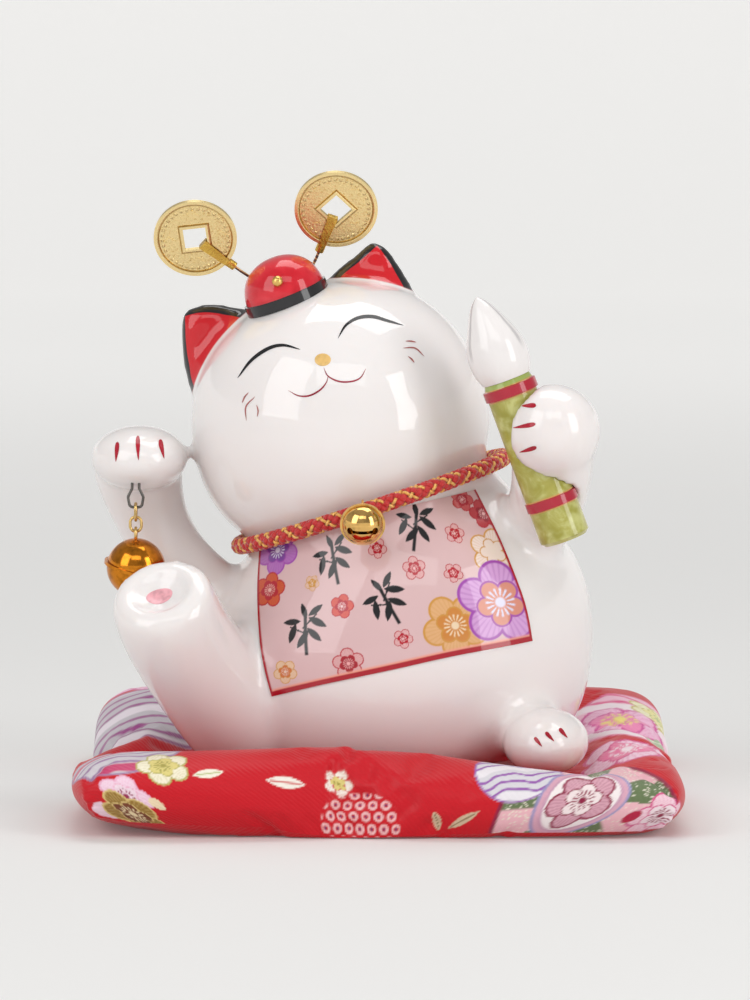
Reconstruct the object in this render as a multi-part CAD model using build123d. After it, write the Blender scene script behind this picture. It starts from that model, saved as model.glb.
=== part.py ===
"""Reclining ceramic lucky-cat coin bank on a stuffed square cushion.

The cat is slip-cast in six pieces that are luted together and glazed as one. It wears a braided collar with
a jingle bell, holds a writing brush in one paw, hangs a second bell from the other paw and carries two cash
coins on springy wires behind its cap. The cat rests in a hollow of the cushion and lifts straight off it.
Units are millimetres, +Z is up, the cat faces -Y, and the origin is the centre of the cushion's underside.
"""

from build123d import *
import os
from math import cos, radians, sin

# Driving dimensions
CUSHION_SIDE = 172.0
CUSHION_HEIGHT = 22.0
CUSHION_CORNER = 20.0
CUSHION_RIM = 10.4
COVER_THICKNESS = 0.8
SEAT_GAP = 0.5
SEAT_HEIGHT = 13.0
WALL = 4.0
FIT_GAP = 0.3

HEAD_CENTRE = (-11.6, 2.0, 109.3)
HEAD_ROLL = 21.0
HEAD_PITCH = 2.0
HEAD_RADIUS = 43.4
HEAD_TOP = 39.6
NECK_CENTRE = (-2.2, 1.0, 85.6)
NECK_ROLL = 18.5
NECK_PITCH = 2.6
NECK_RADIUS = 36.0

CORD_RADIUS = 2.5
STOPPER_HOLE_RADIUS = 12.0
SLOT_LENGTH = 38.0
SLOT_HEIGHT = 4.8
SLOT_LEVEL = 64.0

COIN_RADIUS = 12.0
COIN_THICKNESS = 1.3
COIN_HOLE = 6.6
COIN_RIM = 1.3
COIN_RELIEF = 0.25
COIN_LEAN = -24.0
WIRE_RADIUS = 0.45
WIRE_DEPTH = 2.4

HAND_BELL_RADIUS = 8.4
COLLAR_BELL_RADIUS = 5.8
BELL_WALL = 0.5
CHAIN_X = -69.5
CHAIN_Y = -20.5
EYE_BOTTOM = 86.0
LINK_GAP = 0.15


def frame(origin, roll=0.0, pitch=0.0):
    """A plane whose Z leans left by roll and back by pitch, and whose X stays in the XZ plane."""
    r, p = radians(roll), radians(pitch)
    return Plane(
        origin=origin,
        x_dir=(cos(r), 0, sin(r)),
        z_dir=(-sin(r) * cos(p), sin(p), cos(r) * cos(p)),
    )


HEAD = frame(HEAD_CENTRE, HEAD_ROLL, HEAD_PITCH)


def in_head(x, y, z):
    """A point of the head's own frame, in the model's frame."""
    return HEAD.from_local_coords(Vector(x, y, z))


NECK = frame(NECK_CENTRE, NECK_ROLL, NECK_PITCH)


def spun(points, plane=Plane.XY):
    """The solid of revolution about the plane's Z of a smooth curve through (radius, height) points."""
    curve = Spline([(r, 0, z) for r, z in points])
    first, last = points[0], points[-1]
    edges = [curve.edge(), Line((last[0], 0, last[1]), (0, 0, last[1])).edge()] if last[0] else [curve.edge()]
    if first[0]:
        edges.append(Line((0, 0, first[1]), (first[0], 0, first[1])).edge())
    edges.append(Line((0, 0, last[1]), (0, 0, first[1])).edge())
    face = make_face(Wire(edges).edges())
    return plane.location * revolve(face, Axis.Z)


def turned(points, plane=Plane.XY):
    """The solid of revolution about the plane's Z of a closed straight-sided outline of (radius, height) points."""
    face = make_face(Polyline([(r, 0, z) for r, z in points], close=True).edges())
    return plane.location * revolve(face, Axis.Z)


def egg(centre, rx, ry, rz, plane=None):
    """An ellipsoid."""
    ball = scale(Sphere(1.0), by=(rx, ry, rz))
    return (plane or frame(centre)).location * ball


def wire_rod(path, radius):
    """A round rod along a path."""
    start = Plane(origin=path @ 0, z_dir=path % 0)
    return sweep(start * Circle(radius), path=path)


def above(level):
    """A block that fills everything above a level."""
    return Pos(0, 0, level + 150) * Box(400, 400, 300)


# ---- The cat's castings ----

# Centre X, Y, Z, lean in degrees and the two half-widths of the torso's cross-sections, from base to neck
TORSO_SECTIONS = [
    (4.0, 2.0, 13.0, 0.0, 43.5, 39.0),
    (4.0, 2.0, 18.5, 0.7, 50.5, 46.0),
    (4.5, 2.0, 28.0, 2.0, 55.2, 50.0),
    (4.8, 2.0, 39.0, 4.0, 57.3, 52.0),
    (4.6, 2.0, 51.0, 7.0, 56.8, 51.0),
    (3.2, 1.6, 63.5, 11.5, 52.0, 47.0),
    (0.2, 1.0, 75.0, 15.5, 43.0, 40.6),
    (*NECK_CENTRE, NECK_ROLL, NECK_RADIUS, NECK_RADIUS),
]
# Centre, direction and radius along the raised leg, from hip to sole
LEG = [
    ((-33.0, -14.0, 24.0), (-0.62, -0.62, 0.48), 19.5),
    ((-45.9, -29.0, 35.0), (-0.55, -0.62, 0.56), 16.8),
    ((-54.9, -39.5, 48.3), (-0.42, -0.62, 0.66), 15.4),
    ((-59.6, -46.5, 58.5), (-0.28, -0.60, 0.75), 15.0),
    ((-61.0, -49.3, 63.2), (-0.20, -0.59, 0.78), 14.4),
]


def station(origin, direction):
    """A plane across a limb, with its X kept level so that neighbouring sections don't twist."""
    z = Vector(direction).normalized()
    return Plane(origin=origin, x_dir=z.cross(Vector(0.2, -1, -0.3)), z_dir=z)


SOLE = station(*LEG[-1][:2])


def limb(stations, grow=0.0):
    """A limb lofted through round sections."""
    return loft(Sketch() + [station(p, d) * Circle(r + grow) for p, d, r in stations])


def leg(grow=0.0):
    """The raised leg, ending in a flat sole with a softly rounded edge."""
    r = LEG[-1][2] + grow
    sole = turned([(0, -8), (r - 0.2, -8), (r, 0), (r - 0.8, 1.8), (r - 3.0, 2.9), (0, 2.9)])
    return limb(LEG, grow) + SOLE * sole


def torso(grow=0.0, bottom=SEAT_HEIGHT):
    """The leaning egg of the torso, grown outwards, cut flat at the neck and at its bottom."""
    faces = []
    for x, y, z, lean, a, b in TORSO_SECTIONS:
        pitch = NECK_PITCH if z == NECK_CENTRE[2] else 0
        faces.append(frame((x, y, z), lean, pitch) * Ellipse(a + grow, b + grow))
    body = loft(Sketch() + faces)
    if grow > 0:
        x, y, z, lean, a, b = TORSO_SECTIONS[0]
        body += Pos(x, y, z - grow / 2) * extrude(Ellipse(a + grow, b + grow), grow / 2, both=True)
    return body & above(bottom)


def resting_foot(grow=0.0):
    """The left foot, low beside the belly."""
    return egg((47.0, -41.0, 21.5), 12.5 + grow, 17.0 + grow, 9.5 + grow)


def tail(grow=0.0):
    """The bobbed tail at the back."""
    return egg((20.0, 51.0, 36.5), 9.0 + grow, 10.0 + grow, 12.0 + grow)


def lower_cat(grow=0.0):
    """Everything of the cat that could meet the cushion, grown outwards."""
    floor = SEAT_HEIGHT - grow
    return torso(grow, floor) + (leg(grow) & above(floor)) + (resting_foot(grow) & above(floor))


def body_casting():
    """Torso, raised leg, resting foot and tail: hollow, with a coin slot behind and a stopper hole below."""
    body = lower_cat() + (tail() & above(SEAT_HEIGHT))
    hollow = torso(-WALL, SEAT_HEIGHT + 6.5)
    body -= hollow
    body -= limb(LEG[:4], -WALL) & above(SEAT_HEIGHT + 6.5)
    body -= SOLE * Pos(0, 0, 9.1) * Sphere(8.5)
    body -= Pos(4, 0, SEAT_HEIGHT) * Cylinder(16.0, 6.0)
    body -= Pos(4, 0, SEAT_HEIGHT) * Cylinder(STOPPER_HOLE_RADIUS, 30.0)
    body -= Pos(4, 50, SLOT_LEVEL) * Box(SLOT_LENGTH, 40, SLOT_HEIGHT)
    return body


# Radius and height of the head's outline, from its crown to the neck
HEAD_PROFILE = [
    (0.0, HEAD_TOP),
    (14.0, 37.6),
    (27.0, 31.6),
    (37.0, 20.8),
    (42.2, 8.0),
    (HEAD_RADIUS, -3.0),
    (41.6, -13.5),
    (37.4, -22.0),
    (30.0, -30.0),
]


def head_ball(grow=0.0):
    """The head's smooth ball, cut off at the neck plane."""
    ball = spun([(r + grow if r else 0, z + grow) if z > 0 else (r + grow, z) for r, z in HEAD_PROFILE], HEAD)
    return ball & NECK.location * Pos(0, 0, 100) * Box(300, 300, 200)


# Tilt from the head's axis, and the height, sideways shift and half-width of each section of the ear
EARS = {
    "left": (-39.8, [(29.0, 0.0, 17.0), (39.5, -0.6, 15.2), (46.0, 1.4, 10.9), (49.4, 2.8, 7.8),
                     (52.2, 3.9, 4.4), (53.9, 4.4, 1.8)]),
    "right": (34.4, [(29.0, 0.0, 15.0), (38.3, 0.6, 13.3), (45.7, 0.3, 8.0), (48.8, -0.2, 5.3),
                     (51.0, -0.8, 3.2), (52.0, -1.2, 1.6)]),
}


def ear(side):
    """One pointed ear with a scooped front, standing out of the side of the crown."""
    tilt, sections = EARS[side]
    foot = HEAD.location * Rotation(0, tilt, 0)
    shell = loft(Sketch() + [Pos(x, 2, z) * Ellipse(w, 1.6 + w * 0.34) for z, x, w in sections])
    middle = sections[2][1]
    scoop = Pos(middle, -9.4, 44.0) * scale(Sphere(1.0), by=(sections[2][2] * 0.85, 8.0, 11.0))
    return foot * (shell - scoop)


def head_casting():
    """The head with its ears, hollow and open at the neck, with two small holes for the coin wires."""
    head = head_ball() + ear("left") + ear("right")
    head -= head_ball(-WALL)
    head -= NECK.location * Cylinder(NECK_RADIUS - WALL - 1, 8)
    for side, root in WIRE_ROOTS.items():
        way = Plane(origin=root, z_dir=wire_end(side) - root)
        head -= way * Pos(0, 0, -1.0) * Cylinder(WIRE_RADIUS + 0.7, 6.4)
    return head


CAP_RADIUS = 11.9
CAP_PLANE = Plane(in_head(-1.2, -7.5, 37.4), x_dir=HEAD.x_dir, z_dir=HEAD.z_dir).location * Rotation(6, 0, 0)
CAP_DOME = [(0, 13.2), (5.2, 12.3), (9.4, 9.3), (11.4, 5.0), (CAP_RADIUS, 1.0)]


def cap_casting():
    """The round cap with its raised band, a solid casting seated on the crown."""
    dome = CAP_PLANE * spun(CAP_DOME)
    dome += CAP_PLANE * Pos(0, 0, 1.1) * Cylinder(CAP_RADIUS + 0.5, 3.0)
    dome += CAP_PLANE * Pos(0, 0, -3.0) * Cylinder(CAP_RADIUS, 8.0)
    return dome - head_ball()


def cap_stud(cap):
    """The little gilt stud on the front of the cap."""
    return CAP_PLANE * Pos(-0.4, -11.0, 7.6) * Sphere(1.6) - cap


# Centre, direction and radius along the raised arm, from shoulder to wrist
RIGHT_ARM = [
    ((-33.0, 4.0, 46.0), (-1.0, 0.0, 0.45), 13.0),
    ((-46.5, 5.0, 55.0), (-1.0, 0.05, 0.75), 12.0),
    ((-58.5, 6.0, 67.0), (-0.55, 0.05, 0.85), 10.6),
    ((-65.5, 6.0, 79.0), (-0.3, -0.05, 0.95), 10.6),
    ((-69.0, 3.5, 90.0), (-0.1, -0.25, 0.95), 12.2),
    ((-69.6, -0.5, 98.5), (0.0, -0.6, 0.8), 12.6),
]
# Centre, direction and radius along the arm that holds the brush
LEFT_ARM = [
    ((33.0, 0.0, 67.0), (0.75, -0.5, 0.35), 8.5),
    ((40.5, -8.5, 74.5), (0.6, -0.6, 0.55), 9.6),
    ((46.2, -20.0, 84.0), (0.35, -0.7, 0.65), 10.6),
    ((48.6, -32.0, 95.0), (0.1, -0.65, 0.75), 11.3),
    ((49.0, -40.5, 105.5), (0.0, -0.6, 0.8), 11.8),
]
LEFT_PAW = (48.9, -44.0, 109.9)
PAW_RADIUS = 13.3


def right_arm_casting(body, head):
    """The raised arm with its paw folded forwards, luted to the shoulder."""
    paw = egg((-68.9, -8.5, 99.0), 14.0, 16.5, 9.4)
    arm = limb(RIGHT_ARM) + paw
    for x in (-1.0, 1.0):
        arm -= Pos(CHAIN_X + x, CHAIN_Y, 93.5) * Cylinder(0.52, 8)
    return arm - body - head


def left_arm_casting(body, head, brush):
    """The arm whose paw grips the brush."""
    arm = limb(LEFT_ARM) + Pos(*LEFT_PAW) * Sphere(PAW_RADIUS)
    return arm - body - head - brush


BRUSH_END = Vector(52.6, -41.0, 79.0)
BRUSH_TIP = Vector(27.2, -41.0, 147.6)
BRUSH_PLANE = Plane(origin=BRUSH_END, x_dir=(0, 1, 0), z_dir=BRUSH_TIP - BRUSH_END)


def brush_handle():
    """The brush's handle, with its two raised bands."""
    outline = [(0, 0), (6.2, 0), (7.2, 1.0), (7.2, 10.2), (7.6, 10.4), (7.6, 13.0), (7.2, 13.2)]
    outline += [(7.2, 43.6), (7.8, 43.8), (7.8, 46.6), (7.1, 46.8), (6.6, 48.4), (0, 48.4)]
    return turned(outline, BRUSH_PLANE)


def brush_head():
    """The brush's pointed tuft, with its foot seated on the handle."""
    return spun([(7.0, 48.4), (8.5, 53.5), (8.2, 58.5), (5.6, 65.0), (2.6, 70.5), (0.0, 73.0)], BRUSH_PLANE)


def base_stopper():
    """The rubber stopper that closes the hole in the base, with a finger groove across its flange."""
    flange = Pos(4, 0, SEAT_HEIGHT + 0.4) * Cylinder(15.4, 2.3, align=(Align.CENTER, Align.CENTER, Align.MIN))
    plug = Pos(4, 0, SEAT_HEIGHT + 2.7) * Cone(
        STOPPER_HOLE_RADIUS - FIT_GAP, 11.2, 6.0, align=(Align.CENTER, Align.CENTER, Align.MIN)
    )
    groove = Pos(4, 0, SEAT_HEIGHT + 0.4) * Box(13, 3, 2.4)
    return flange + plug - groove


# ---- Collar and bells ----

COLLAR_RADIUS = NECK_RADIUS + FIT_GAP + CORD_RADIUS + 1.6


def collar_cord():
    """The braided cord, a closed ring round the neck."""
    return NECK.location * Torus(COLLAR_RADIUS, CORD_RADIUS)


def bell_shells(plane, radius):
    """Upper and lower half of a jingle bell, centred on the plane with its shank end along +Z."""
    inner = radius - BELL_WALL
    lip = radius * 0.055
    ball = Sphere(radius)
    crimp = Cylinder(radius + lip * 1.8, lip * 2)
    shell = ball + crimp - Sphere(inner)
    upper = shell & Pos(0, 0, 50) * Box(100, 100, 100)
    lower = shell & Pos(0, 0, -50) * Box(100, 100, 100)
    slot_width = radius * 0.16
    end = radius * 0.62
    lower -= Pos(0, 0, -radius) * Box(end * 2, slot_width, radius * 1.2)
    for side in (-1, 1):
        hole = Cylinder(slot_width * 1.1, radius, align=(Align.CENTER, Align.CENTER, Align.MIN))
        lower -= Rotation(0, side * 38, 0) * Pos(0, 0, -radius * 1.4) * hole
    return plane * upper, plane * lower


def pea(plane, radius, size):
    """The loose steel pea, resting in the bottom of a bell."""
    return Pos(plane.origin) * Pos(0, 0, -(radius - BELL_WALL - size - 0.25)) * Sphere(size)


def shank(plane, radius, loop_radius, wire):
    """The wire loop on top of a bell, with its foot inside the shell trimmed away."""
    loop = Pos(0, 0, radius + loop_radius - wire) * Rotation(0, 90, 0) * Torus(loop_radius, wire)
    return plane * (loop - Sphere(radius))


def oval_link(top, bottom, half_width, wire, turn):
    """A closed oval link in a vertical plane, between two heights of its centreline."""
    length = top - bottom
    path = Plane.XZ * SlotOverall(length, half_width * 2, rotation=90)
    outline = path.face().outer_wire()
    start = Plane(origin=outline @ 0, z_dir=outline % 0)
    link = sweep(start * Circle(wire), path=outline)
    return Pos(CHAIN_X, CHAIN_Y, (top + bottom) / 2) * Rotation(0, 0, turn) * link


EYE_WIRE, LINK_1_WIRE, LINK_2_WIRE, SHANK_WIRE = 0.4, 0.45, 0.42, 0.45
LINK_1_TOP = EYE_BOTTOM + EYE_WIRE + LINK_1_WIRE + LINK_GAP
LINK_1_BOTTOM = LINK_1_TOP - 4.8
LINK_2_TOP = LINK_1_BOTTOM + LINK_1_WIRE + LINK_2_WIRE + LINK_GAP
LINK_2_BOTTOM = LINK_2_TOP - 4.2
SHANK_TOP = LINK_2_BOTTOM + LINK_2_WIRE + SHANK_WIRE + LINK_GAP
SHANK_LOOP = 1.7
HAND_BELL_Z = SHANK_TOP - SHANK_LOOP * 2 + SHANK_WIRE - HAND_BELL_RADIUS
HAND_BELL_PLANE = Plane(origin=(CHAIN_X, CHAIN_Y, HAND_BELL_Z))
HAND_BELL_SKEW = Rotation(7, 13, 0)


def paw_eye():
    """The steel wire eye set into the underside of the raised paw."""
    points = [(-1.0, 95.5), (-1.0, 91.4), (-2.2, 88.9), (-1.7, EYE_BOTTOM), (1.7, EYE_BOTTOM)]
    points += [(2.2, 88.9), (1.0, 91.4), (1.0, 95.5)]
    path = FilletPolyline([(x, 0, z) for x, z in points], radius=[0.9, 0.9, 1.1, 1.1, 0.9, 0.9])
    return Pos(CHAIN_X, CHAIN_Y, 0) * wire_rod(path, EYE_WIRE)


BELL_SLOPE = 19.0
TIE_RADIUS, TIE_WIRE, TIE_SHIFT = 3.1, 0.35, 0.1
CORD_FRONT = NECK.from_local_coords(Vector(-2.0, -COLLAR_RADIUS, 0))
BELL_AWAY = Vector(0, -cos(radians(BELL_SLOPE)), -sin(radians(BELL_SLOPE)))
COLLAR_BELL_CENTRE = CORD_FRONT + BELL_AWAY * (TIE_SHIFT + TIE_RADIUS - TIE_WIRE + COLLAR_BELL_RADIUS)
COLLAR_BELL_PLANE = Plane(origin=COLLAR_BELL_CENTRE, x_dir=(1, 0, 0), z_dir=-BELL_AWAY)


# ---- Coins on springs ----

# Centre of each coin, turn of its square hole and direction of its clip, both in degrees within the coin's plane
COINS = {"left": (Vector(-53.0, 3.2, 161.6), 7.0, -39.5), "right": (Vector(-12.4, 3.2, 170.0), 44.0, -110.0)}
CLIP_REACH = 14.3
WIRE_ROOTS = {"left": in_head(-3.2, 9.0, 38.4), "right": in_head(2.6, 9.0, 38.4)}


def coin_plane(side, turn):
    """The coin's middle plane: Z towards the front, X turned by an angle from the horizontal."""
    lean, angle = radians(COIN_LEAN), radians(turn)
    up = Vector(0, sin(lean), cos(lean))
    across = Vector(1, 0, 0) * cos(angle) + up * sin(angle)
    return Plane(origin=COINS[side][0], x_dir=across, z_dir=(0, -cos(lean), sin(lean)))


def wire_end(side):
    """The wire's upper end, just outside the coin's rim."""
    return coin_plane(side, COINS[side][2]).from_local_coords(Vector(CLIP_REACH, 0, 0))


def coin(side):
    """A cash coin: round, with a square hole, raised rims and four plain raised lozenges on each face."""
    half = COIN_THICKNESS / 2
    blank = Cylinder(COIN_RADIUS, COIN_THICKNESS)
    for face in (-1, 1):
        field = Cylinder(COIN_RADIUS - COIN_RIM, COIN_RELIEF) - Box(COIN_HOLE + 2, COIN_HOLE + 2, 1)
        blank -= Pos(0, 0, face * (half - COIN_RELIEF / 2)) * field
        for quarter in range(4):
            mark = Rotation(0, 0, quarter * 90) * Pos(7.6, 0, 0) * Rotation(0, 0, 45) * Box(2.2, 2.2, 1)
            keep = Pos(0, 0, face * (half - COIN_RELIEF / 2)) * Box(60, 60, COIN_RELIEF)
            blank += mark & keep
    blank -= Box(COIN_HOLE, COIN_HOLE, 5)
    return coin_plane(side, COINS[side][1]) * blank


CLIP_WIDTH = 3.0
CLIP_THICKNESS = 0.3
CLIP_BORE = WIRE_RADIUS + 0.45
FOLD_REACH = 2.9


def coin_clip(side):
    """The folded foil strip: through the coin's hole, down both faces and crimped into a barrel for the wire."""
    inside, rim = COIN_THICKNESS / 2 + 0.12, COIN_RADIUS + 0.3

    def loop(end, spread, fold, half):
        corners = [(end, -spread), (rim, -half), (fold, -half), (fold, half), (rim, half), (end, spread)]
        return make_face(Polyline(corners, close=True).edges())

    outer = loop(CLIP_REACH - 0.2, 1.0, FOLD_REACH - CLIP_THICKNESS, inside + CLIP_THICKNESS)
    inner = loop(CLIP_REACH - 1.6, 0.6, FOLD_REACH, inside)
    strip = extrude(Plane.XZ * (outer - inner), CLIP_WIDTH, both=True)
    wide, narrow = CLIP_WIDTH / 2, 0.9
    taper = Polyline([(0, -wide), (FOLD_REACH, -wide), (CLIP_REACH, -narrow), (CLIP_REACH, narrow),
                      (FOLD_REACH, wide), (0, wide)], close=True)
    strip &= extrude(make_face(taper.edges()), 8, both=True)
    barrel = Pos(CLIP_REACH - 1.0, 0, 0) * Rotation(0, 90, 0) * Cylinder(1.3, 2.4)
    bore = Pos(CLIP_REACH, 0, 0) * Rotation(0, 90, 0) * Cylinder(CLIP_BORE, 2.9)
    return coin_plane(side, COINS[side][2]) * (strip + barrel - bore)


def coin_wire(side):
    """The springy wire from its hole in the crown to inside the clip's barrel."""
    root, end = WIRE_ROOTS[side], wire_end(side)
    along = (end - root).normalized()
    into = -coin_plane(side, COINS[side][2]).x_dir
    path = FilletPolyline(
        [root - along * WIRE_DEPTH, root + along * 2.0, end - into * 2.6, end + into * 0.7], radius=[6.0, 3.0]
    )
    return wire_rod(path, WIRE_RADIUS)


# ---- Cushion ----


def pillow(inset=0.0):
    """The stuffed cushion's plain block: flat underneath, with a full-round rim."""
    side = CUSHION_SIDE - 2 * inset
    height = CUSHION_HEIGHT - 2 * inset
    block = Pos(0, 0, CUSHION_HEIGHT / 2) * Box(side, side, height)
    block = fillet(block.edges().filter_by(Axis.Z), CUSHION_CORNER - inset)
    rims = block.edges().group_by(Axis.Z)
    return fillet(rims[0] + rims[-1], CUSHION_RIM - inset)


def cushion():
    """Top cover, bottom cover and filling, all pressed down under the cat."""
    outer = pillow() - lower_cat(SEAT_GAP)
    filling = pillow(COVER_THICKNESS) - lower_cat(SEAT_GAP + COVER_THICKNESS)
    cover = outer - filling
    middle = CUSHION_HEIGHT / 2
    top = cover & Pos(0, 0, middle + 50) * Box(400, 400, 100)
    bottom = cover & Pos(0, 0, middle - 50) * Box(400, 400, 100)
    return top, bottom, filling


def build():
    """Every sub-part by its node name."""
    nodes = {}
    body = body_casting()
    head = head_casting()
    nodes["body_casting"] = body
    nodes["head_casting"] = head - body
    nodes["cap_casting"] = cap_casting() - head
    nodes["cap_stud"] = cap_stud(nodes["cap_casting"])
    nodes["brush_handle"] = brush_handle() - head - body
    nodes["brush_head"] = brush_head() - head
    grip = nodes["brush_handle"] + nodes["brush_head"]
    nodes["right_arm_casting"] = right_arm_casting(lower_cat(), head_ball())
    nodes["left_arm_casting"] = left_arm_casting(lower_cat(), head_ball(), grip)
    nodes["base_stopper"] = base_stopper()
    nodes["collar_cord"] = collar_cord()

    nodes["collar_bell_upper"], nodes["collar_bell_lower"] = bell_shells(COLLAR_BELL_PLANE, COLLAR_BELL_RADIUS)
    nodes["collar_bell_shank"] = shank(COLLAR_BELL_PLANE, COLLAR_BELL_RADIUS, TIE_RADIUS, TIE_WIRE)
    nodes["collar_bell_pea"] = pea(COLLAR_BELL_PLANE, COLLAR_BELL_RADIUS, 1.6)

    nodes["paw_eye"] = paw_eye()
    nodes["chain_link_1"] = oval_link(LINK_1_TOP, LINK_1_BOTTOM, 1.75, LINK_1_WIRE, 90)
    nodes["chain_link_2"] = oval_link(LINK_2_TOP, LINK_2_BOTTOM, 1.6, LINK_2_WIRE, 0)
    nodes["hand_bell_upper"], nodes["hand_bell_lower"] = bell_shells(
        HAND_BELL_PLANE.location * HAND_BELL_SKEW, HAND_BELL_RADIUS
    )
    nodes["hand_bell_shank"] = shank(HAND_BELL_PLANE, HAND_BELL_RADIUS, SHANK_LOOP, SHANK_WIRE)
    nodes["hand_bell_pea"] = pea(HAND_BELL_PLANE, HAND_BELL_RADIUS, 2.3)

    for side in COINS:
        nodes[f"{side}_coin"] = coin(side)
        nodes[f"{side}_coin_clip"] = coin_clip(side)
        nodes[f"{side}_coin_wire"] = coin_wire(side)

    nodes["cushion_top_cover"], nodes["cushion_bottom_cover"], nodes["cushion_filling"] = cushion()
    return nodes


if __name__ == "__main__":
    os.makedirs("parts", exist_ok=True)
    for name, shape in build().items():
        export_step(shape, f"parts/{name}.step")
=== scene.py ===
"""A reclining ceramic lucky-cat coin bank on a printed cotton cushion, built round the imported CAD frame."""
import bmesh
import bpy
import math
import numpy as np
from mathutils import Matrix, Vector
from mathutils.bvhtree import BVHTree


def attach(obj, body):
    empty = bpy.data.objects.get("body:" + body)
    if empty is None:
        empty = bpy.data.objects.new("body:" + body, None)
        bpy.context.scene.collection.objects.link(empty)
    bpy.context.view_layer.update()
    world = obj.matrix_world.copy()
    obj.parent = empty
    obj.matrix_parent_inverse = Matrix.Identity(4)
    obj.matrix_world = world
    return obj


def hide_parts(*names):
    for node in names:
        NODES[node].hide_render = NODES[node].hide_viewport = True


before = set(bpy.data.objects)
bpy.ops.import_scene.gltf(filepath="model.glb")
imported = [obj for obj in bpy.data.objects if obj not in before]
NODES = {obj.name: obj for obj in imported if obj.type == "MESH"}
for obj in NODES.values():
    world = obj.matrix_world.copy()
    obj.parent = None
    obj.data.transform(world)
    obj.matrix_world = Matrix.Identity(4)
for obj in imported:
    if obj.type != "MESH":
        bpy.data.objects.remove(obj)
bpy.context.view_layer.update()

MM = 0.001
SCENE = bpy.context.scene


# ---- Camera and lights, in metres ----

CAMERA_LENS, CAMERA_SENSOR, CAMERA_REACH = 205.5, 36.0, 20.0
CAMERA_AIM, CAMERA_DISTANCE, CAMERA_ELEVATION = Vector((-0.0012, 0.0, 0.086)), 1.65, math.radians(5.7)
# Place of each soft box, height of the point on the cat's axis that it faces, its width and height, and its watts
SOFT_BOXES = {
    "key": ((-0.85, -0.75, 0.75), 0.08, (0.7, 1.0), 5.2),
    "fill": ((0.8, -0.6, 0.45), 0.09, (0.35, 0.8), 3.3),
    "top": ((0.1, 0.25, 1.1), 0.1, (0.9, 0.5), 3.9),
    "front": ((0.0, -1.25, 1.3), 0.08, (1.1, 0.5), 3.0),
}
AMBIENT, AMBIENT_STRENGTH = (0.93, 0.925, 0.915), 0.46


def add_camera():
    """A long-lens camera in front of the cat, a little above its middle."""
    data = bpy.data.cameras.new("camera")
    data.lens, data.sensor_width, data.clip_end = CAMERA_LENS, CAMERA_SENSOR, CAMERA_REACH
    camera = bpy.data.objects.new("camera", data)
    SCENE.collection.objects.link(camera)
    away = Vector((0, -math.cos(CAMERA_ELEVATION), math.sin(CAMERA_ELEVATION)))
    camera.location = CAMERA_AIM + away * CAMERA_DISTANCE
    camera.rotation_euler = (math.radians(90) - CAMERA_ELEVATION, 0, 0)
    SCENE.camera = camera


def add_soft_box(name, place, aim_height, size, power):
    """A rectangular light that points at the cat."""
    data = bpy.data.lights.new(name, "AREA")
    data.shape, data.size, data.size_y, data.energy = "RECTANGLE", *size, power
    light = bpy.data.objects.new(name, data)
    light.location = place
    light.rotation_euler = (Vector((0, 0, aim_height)) - Vector(place)).to_track_quat("-Z", "Y").to_euler()
    SCENE.collection.objects.link(light)


def add_ambient():
    """An even pale surrounding."""
    world = bpy.data.worlds.new("world")
    world.use_nodes = True
    background = world.node_tree.nodes["Background"]
    background.inputs["Color"].default_value = (*AMBIENT, 1)
    background.inputs["Strength"].default_value = AMBIENT_STRENGTH
    SCENE.world = world


add_camera()
for light_name, values in SOFT_BOXES.items():
    add_soft_box(light_name, *values)
add_ambient()
SCENE.view_settings.view_transform = "Standard"


# ---- Mesh helpers ----

def new_piece(name, points, faces):
    """A smooth mesh object from points in millimetres."""
    mesh = bpy.data.meshes.new(name)
    mesh.from_pydata((np.asarray(points, float) * MM).tolist(), [], [list(f) for f in faces])
    mesh.update()
    mesh.shade_smooth()
    piece = bpy.data.objects.new(name, mesh)
    SCENE.collection.objects.link(piece)
    return piece


def finished(piece, body, material):
    """Gives a piece its material and the body that it moves with."""
    piece.data.materials.clear()
    piece.data.materials.append(material)
    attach(piece, body)
    return piece


def evaluated(piece):
    """A piece's mesh with its modifiers applied."""
    graph = bpy.context.evaluated_depsgraph_get()
    return bpy.data.meshes.new_from_object(piece.evaluated_get(graph))


def grid_faces(rows, columns, closed=False):
    """The quads of a grid of points, row by row; closed joins the last column to the first."""
    faces = []
    for start in range(0, (rows - 1) * columns, columns):
        for c in range(columns if closed else columns - 1):
            after = (c + 1) % columns
            faces.append((start + c, start + after, start + columns + after, start + columns + c))
    return faces


def positions(mesh):
    """A mesh's points as an array, in millimetres."""
    co = np.empty(len(mesh.vertices) * 3)
    mesh.vertices.foreach_get("co", co)
    return co.reshape(-1, 3) / MM


def move_points(mesh, points):
    """Puts a mesh's points where the array says, in millimetres."""
    mesh.vertices.foreach_set("co", (points * MM).ravel())
    mesh.update()


def neighbour_average(mesh):
    """A function that gives, for values at the mesh's points, the average over each point's neighbours."""
    ends = np.empty(len(mesh.edges) * 2, int)
    mesh.edges.foreach_get("vertices", ends)
    a, b = ends.reshape(-1, 2).T
    count = len(mesh.vertices)
    valence = np.maximum(np.bincount(a, minlength=count) + np.bincount(b, minlength=count), 1)

    def average(values):
        columns = np.atleast_2d(values.T)
        total = [np.bincount(a, c[b], count) + np.bincount(b, c[a], count) for c in columns]
        return (np.array(total) / valence).T.reshape(values.shape)

    return average


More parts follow.
